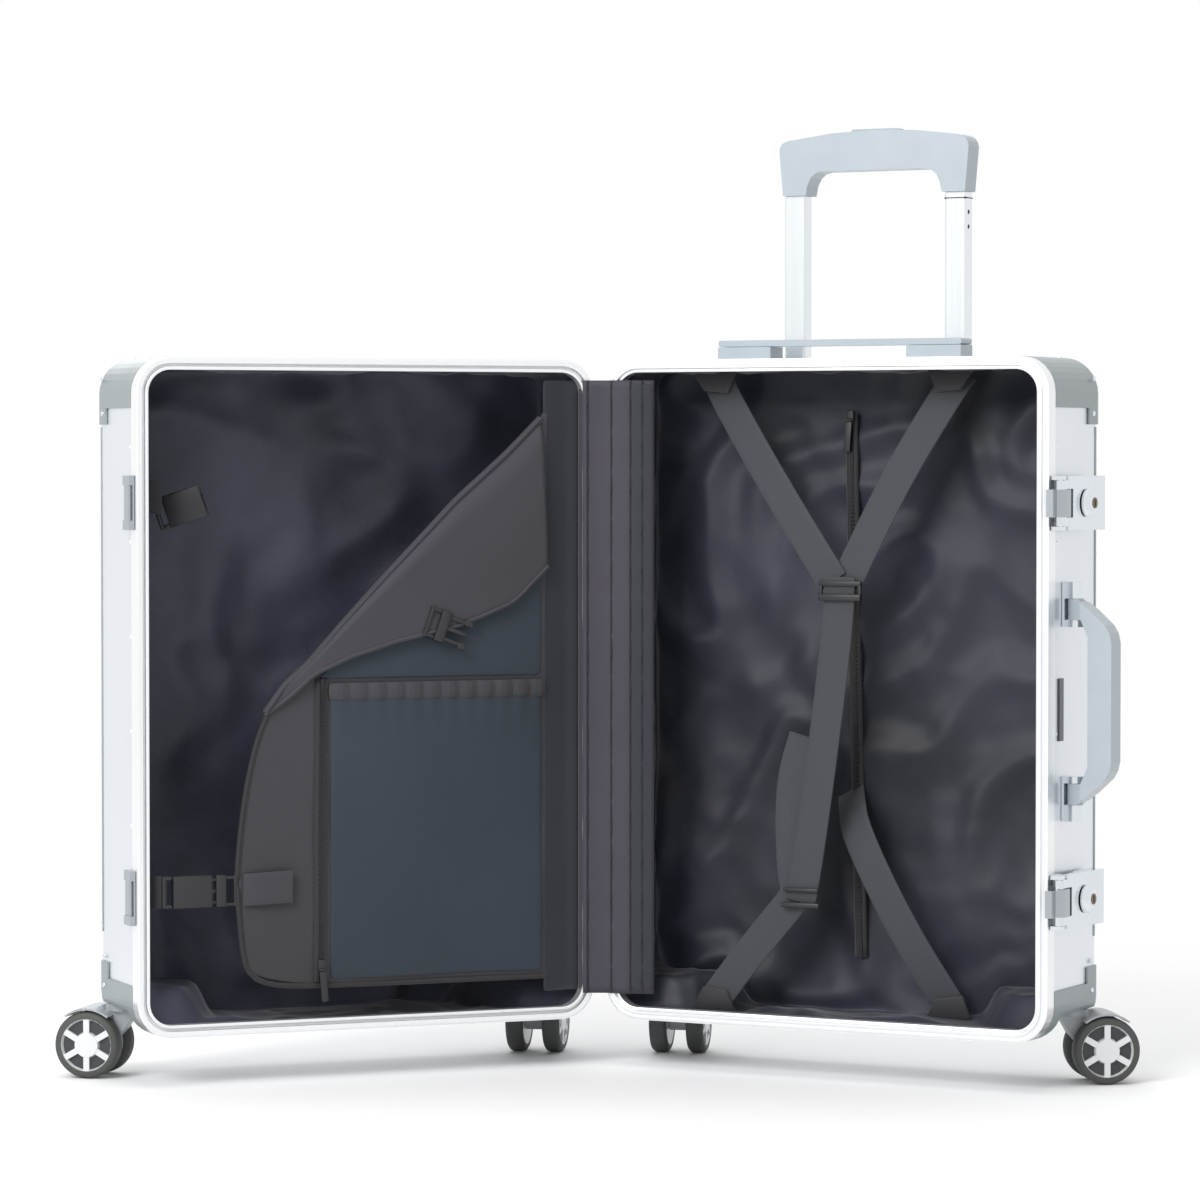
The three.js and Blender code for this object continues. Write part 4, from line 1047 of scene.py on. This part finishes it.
# %% Key barrels in the lock knobs
KNOB_TILT = math.radians(3.7)
for level in ("upper", "lower"):
    name = f"lock_knob_{level}"
    local = [base_space.inverted() @ v.co for v in parts[name].data.vertices]
    high = max(local, key=lambda p: p.x)
    near = [p for p in local if p.x > high.x - 1.2]
    middle = sum(near, Vector()) / len(near)
    out = Vector((math.cos(KNOB_TILT), -math.sin(KNOB_TILT), 0))
    bm = bmesh.new()
    rod(bm, middle - out * 1.2, middle + out * 0.55, 4.1, 24)
    finished(name + "_barrel", bm, "base", name, dark_steel)
    bm = bmesh.new()
    # painted shade: a dark block stands for the shade in the keyway's slot
    block(bm, middle + Vector((0.3, -0.7, -2.6)), middle + Vector((0.85, 0.7, 2.6)), 0.2)
    finished(name + "_keyway", bm, "base", name, hole_painted_shade)
print("key barrels set")

# %% [markdown]
# ## The trolley's small parts
#
# Under the grip a thin dark ring sits round the right tube, and two dark discs on its outer side
# are painted shade in the holes that take the locking pins.

# %% Ring and pin holes
def tube_ring(name, tube, body, z, height):
    low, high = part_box(tube)
    middle = (low + high) / 2
    local = SPACE["base"].inverted() @ middle
    bm = bmesh.new()
    block(bm, (local.x - 9.1, local.y - 7.1, z), (local.x + 9.1, local.y + 7.1, z + height), 1.4)
    finished(name, bm, "base", body, dark_plastic)
    return local


place = tube_ring("trolley_ring_right", "trolley_stage_right", "trolley_stage", 621.5, 2.2)
bm = bmesh.new()
# painted shade: two dark discs stand for the shade inside the pin holes
for z in (612, 601):
    rod(bm, (place.x + 8.2, place.y - 1.5, z), (place.x + 8.88, place.y - 1.5, z), 1.7, 14)
finished("trolley_pin_holes", bm, "base", "trolley_stage", hole_painted_shade)
print("trolley trimmed")

# %% [markdown]
# ## Floor and light
#
# Pale metal looks like whatever surrounds it, so the room is white to the camera and in
# reflections, and the lamps are large and soft. The floor is white too, and keeps the shadow.

# %% Floor
floor_finish = Finish("studio_floor")
floor_cloud = floor_finish.cloudy(floor_finish.place(), 2.0)
floor_tone = floor_finish.blended(floor_cloud, (0.9, 0.9, 0.9, 1), (0.93, 0.93, 0.93, 1))
painted = floor_finish.add("ShaderNodeBsdfPrincipled", None, {"Base Color": floor_tone, "Roughness": 0.9})
glow = floor_finish.add("ShaderNodeEmission", None, {"Color": (1, 1, 1, 1), "Strength": 1.0})
ray = "ShaderNodeLightPath"
seen_plainly = floor_finish.add(ray, output="Is Camera Ray").most(floor_finish.add(ray, output="Is Glossy Ray"))
seen_plainly = seen_plainly.most(floor_finish.add(ray, output="Is Transmission Ray"))
spot = floor_finish.add("ShaderNodeVectorMath", {"operation": "LENGTH"}, {0: floor_finish.place()}, 1)
away = ((spot - 0.55) / 0.6).most(0).least(1)
floor_mix = floor_finish.tree.nodes.new("ShaderNodeMixShader")
floor_out = floor_finish.tree.nodes.new("ShaderNodeOutputMaterial")
for socket, source in (("Fac", away * seen_plainly), (1, painted), (2, glow)):
    floor_finish.tree.links.new(source.socket, floor_mix.inputs[socket])
floor_finish.tree.links.new(floor_mix.outputs[0], floor_out.inputs["Surface"])
bm = bmesh.new()
bmesh.ops.create_grid(bm, x_segments=1, y_segments=1, size=30)
floor_mesh = bpy.data.meshes.new("studio_floor")
bm.to_mesh(floor_mesh)
bm.free()
floor_mesh.materials.append(floor_finish.material)
floor = bpy.data.objects.new("studio_floor", floor_mesh)
floor.location.z = -0.0003
bpy.context.scene.collection.objects.link(floor)

# %% Room light
room = bpy.data.worlds.new("studio_room")
bpy.context.scene.world = room
room.use_nodes = True
tree = room.node_tree
tree.nodes.clear()
path = tree.nodes.new("ShaderNodeLightPath")
seen = tree.nodes.new("ShaderNodeMath")
seen.operation = "MAXIMUM"
tree.links.new(path.outputs["Is Camera Ray"], seen.inputs[0])
tree.links.new(path.outputs["Is Glossy Ray"], seen.inputs[1])
also = tree.nodes.new("ShaderNodeMath")
also.operation = "MAXIMUM"
tree.links.new(seen.outputs[0], also.inputs[0])
tree.links.new(path.outputs["Is Transmission Ray"], also.inputs[1])
white = tree.nodes.new("ShaderNodeBackground")
white.inputs["Color"].default_value = (1, 1, 1, 1)
white.inputs["Strength"].default_value = 1.0
soft = tree.nodes.new("ShaderNodeBackground")
soft.inputs["Color"].default_value = (1, 1, 1, 1)
soft.inputs["Strength"].default_value = 0.56
both = tree.nodes.new("ShaderNodeMixShader")
tree.links.new(also.outputs[0], both.inputs[0])
tree.links.new(soft.outputs[0], both.inputs[1])
tree.links.new(white.outputs[0], both.inputs[2])
out = tree.nodes.new("ShaderNodeOutputWorld")
tree.links.new(both.outputs[0], out.inputs["Surface"])


def soft_lamp(name, place, aim, size, watts):
    lamp = bpy.data.lights.new(name, "AREA")
    lamp.shape, lamp.size, lamp.energy = "SQUARE", size, watts
    made = bpy.data.objects.new(name, lamp)
    made.location = place
    made.rotation_euler = (Vector(aim) - Vector(place)).to_track_quat("-Z", "Y").to_euler()
    bpy.context.scene.collection.objects.link(made)


soft_lamp("lamp_front", (-1.5, -2.6, 2.2), (0, 0, 0.3), 1.6, 85)
soft_lamp("lamp_top", (0, 0, 3.4), (0, 0, 0.3), 2.6, 40)
soft_lamp("lamp_back", (-0.8, 3.2, 2.2), (0, 0, 0.3), 2.4, 30)
bpy.context.scene.view_settings.view_transform = "Standard"
print("studio lit")
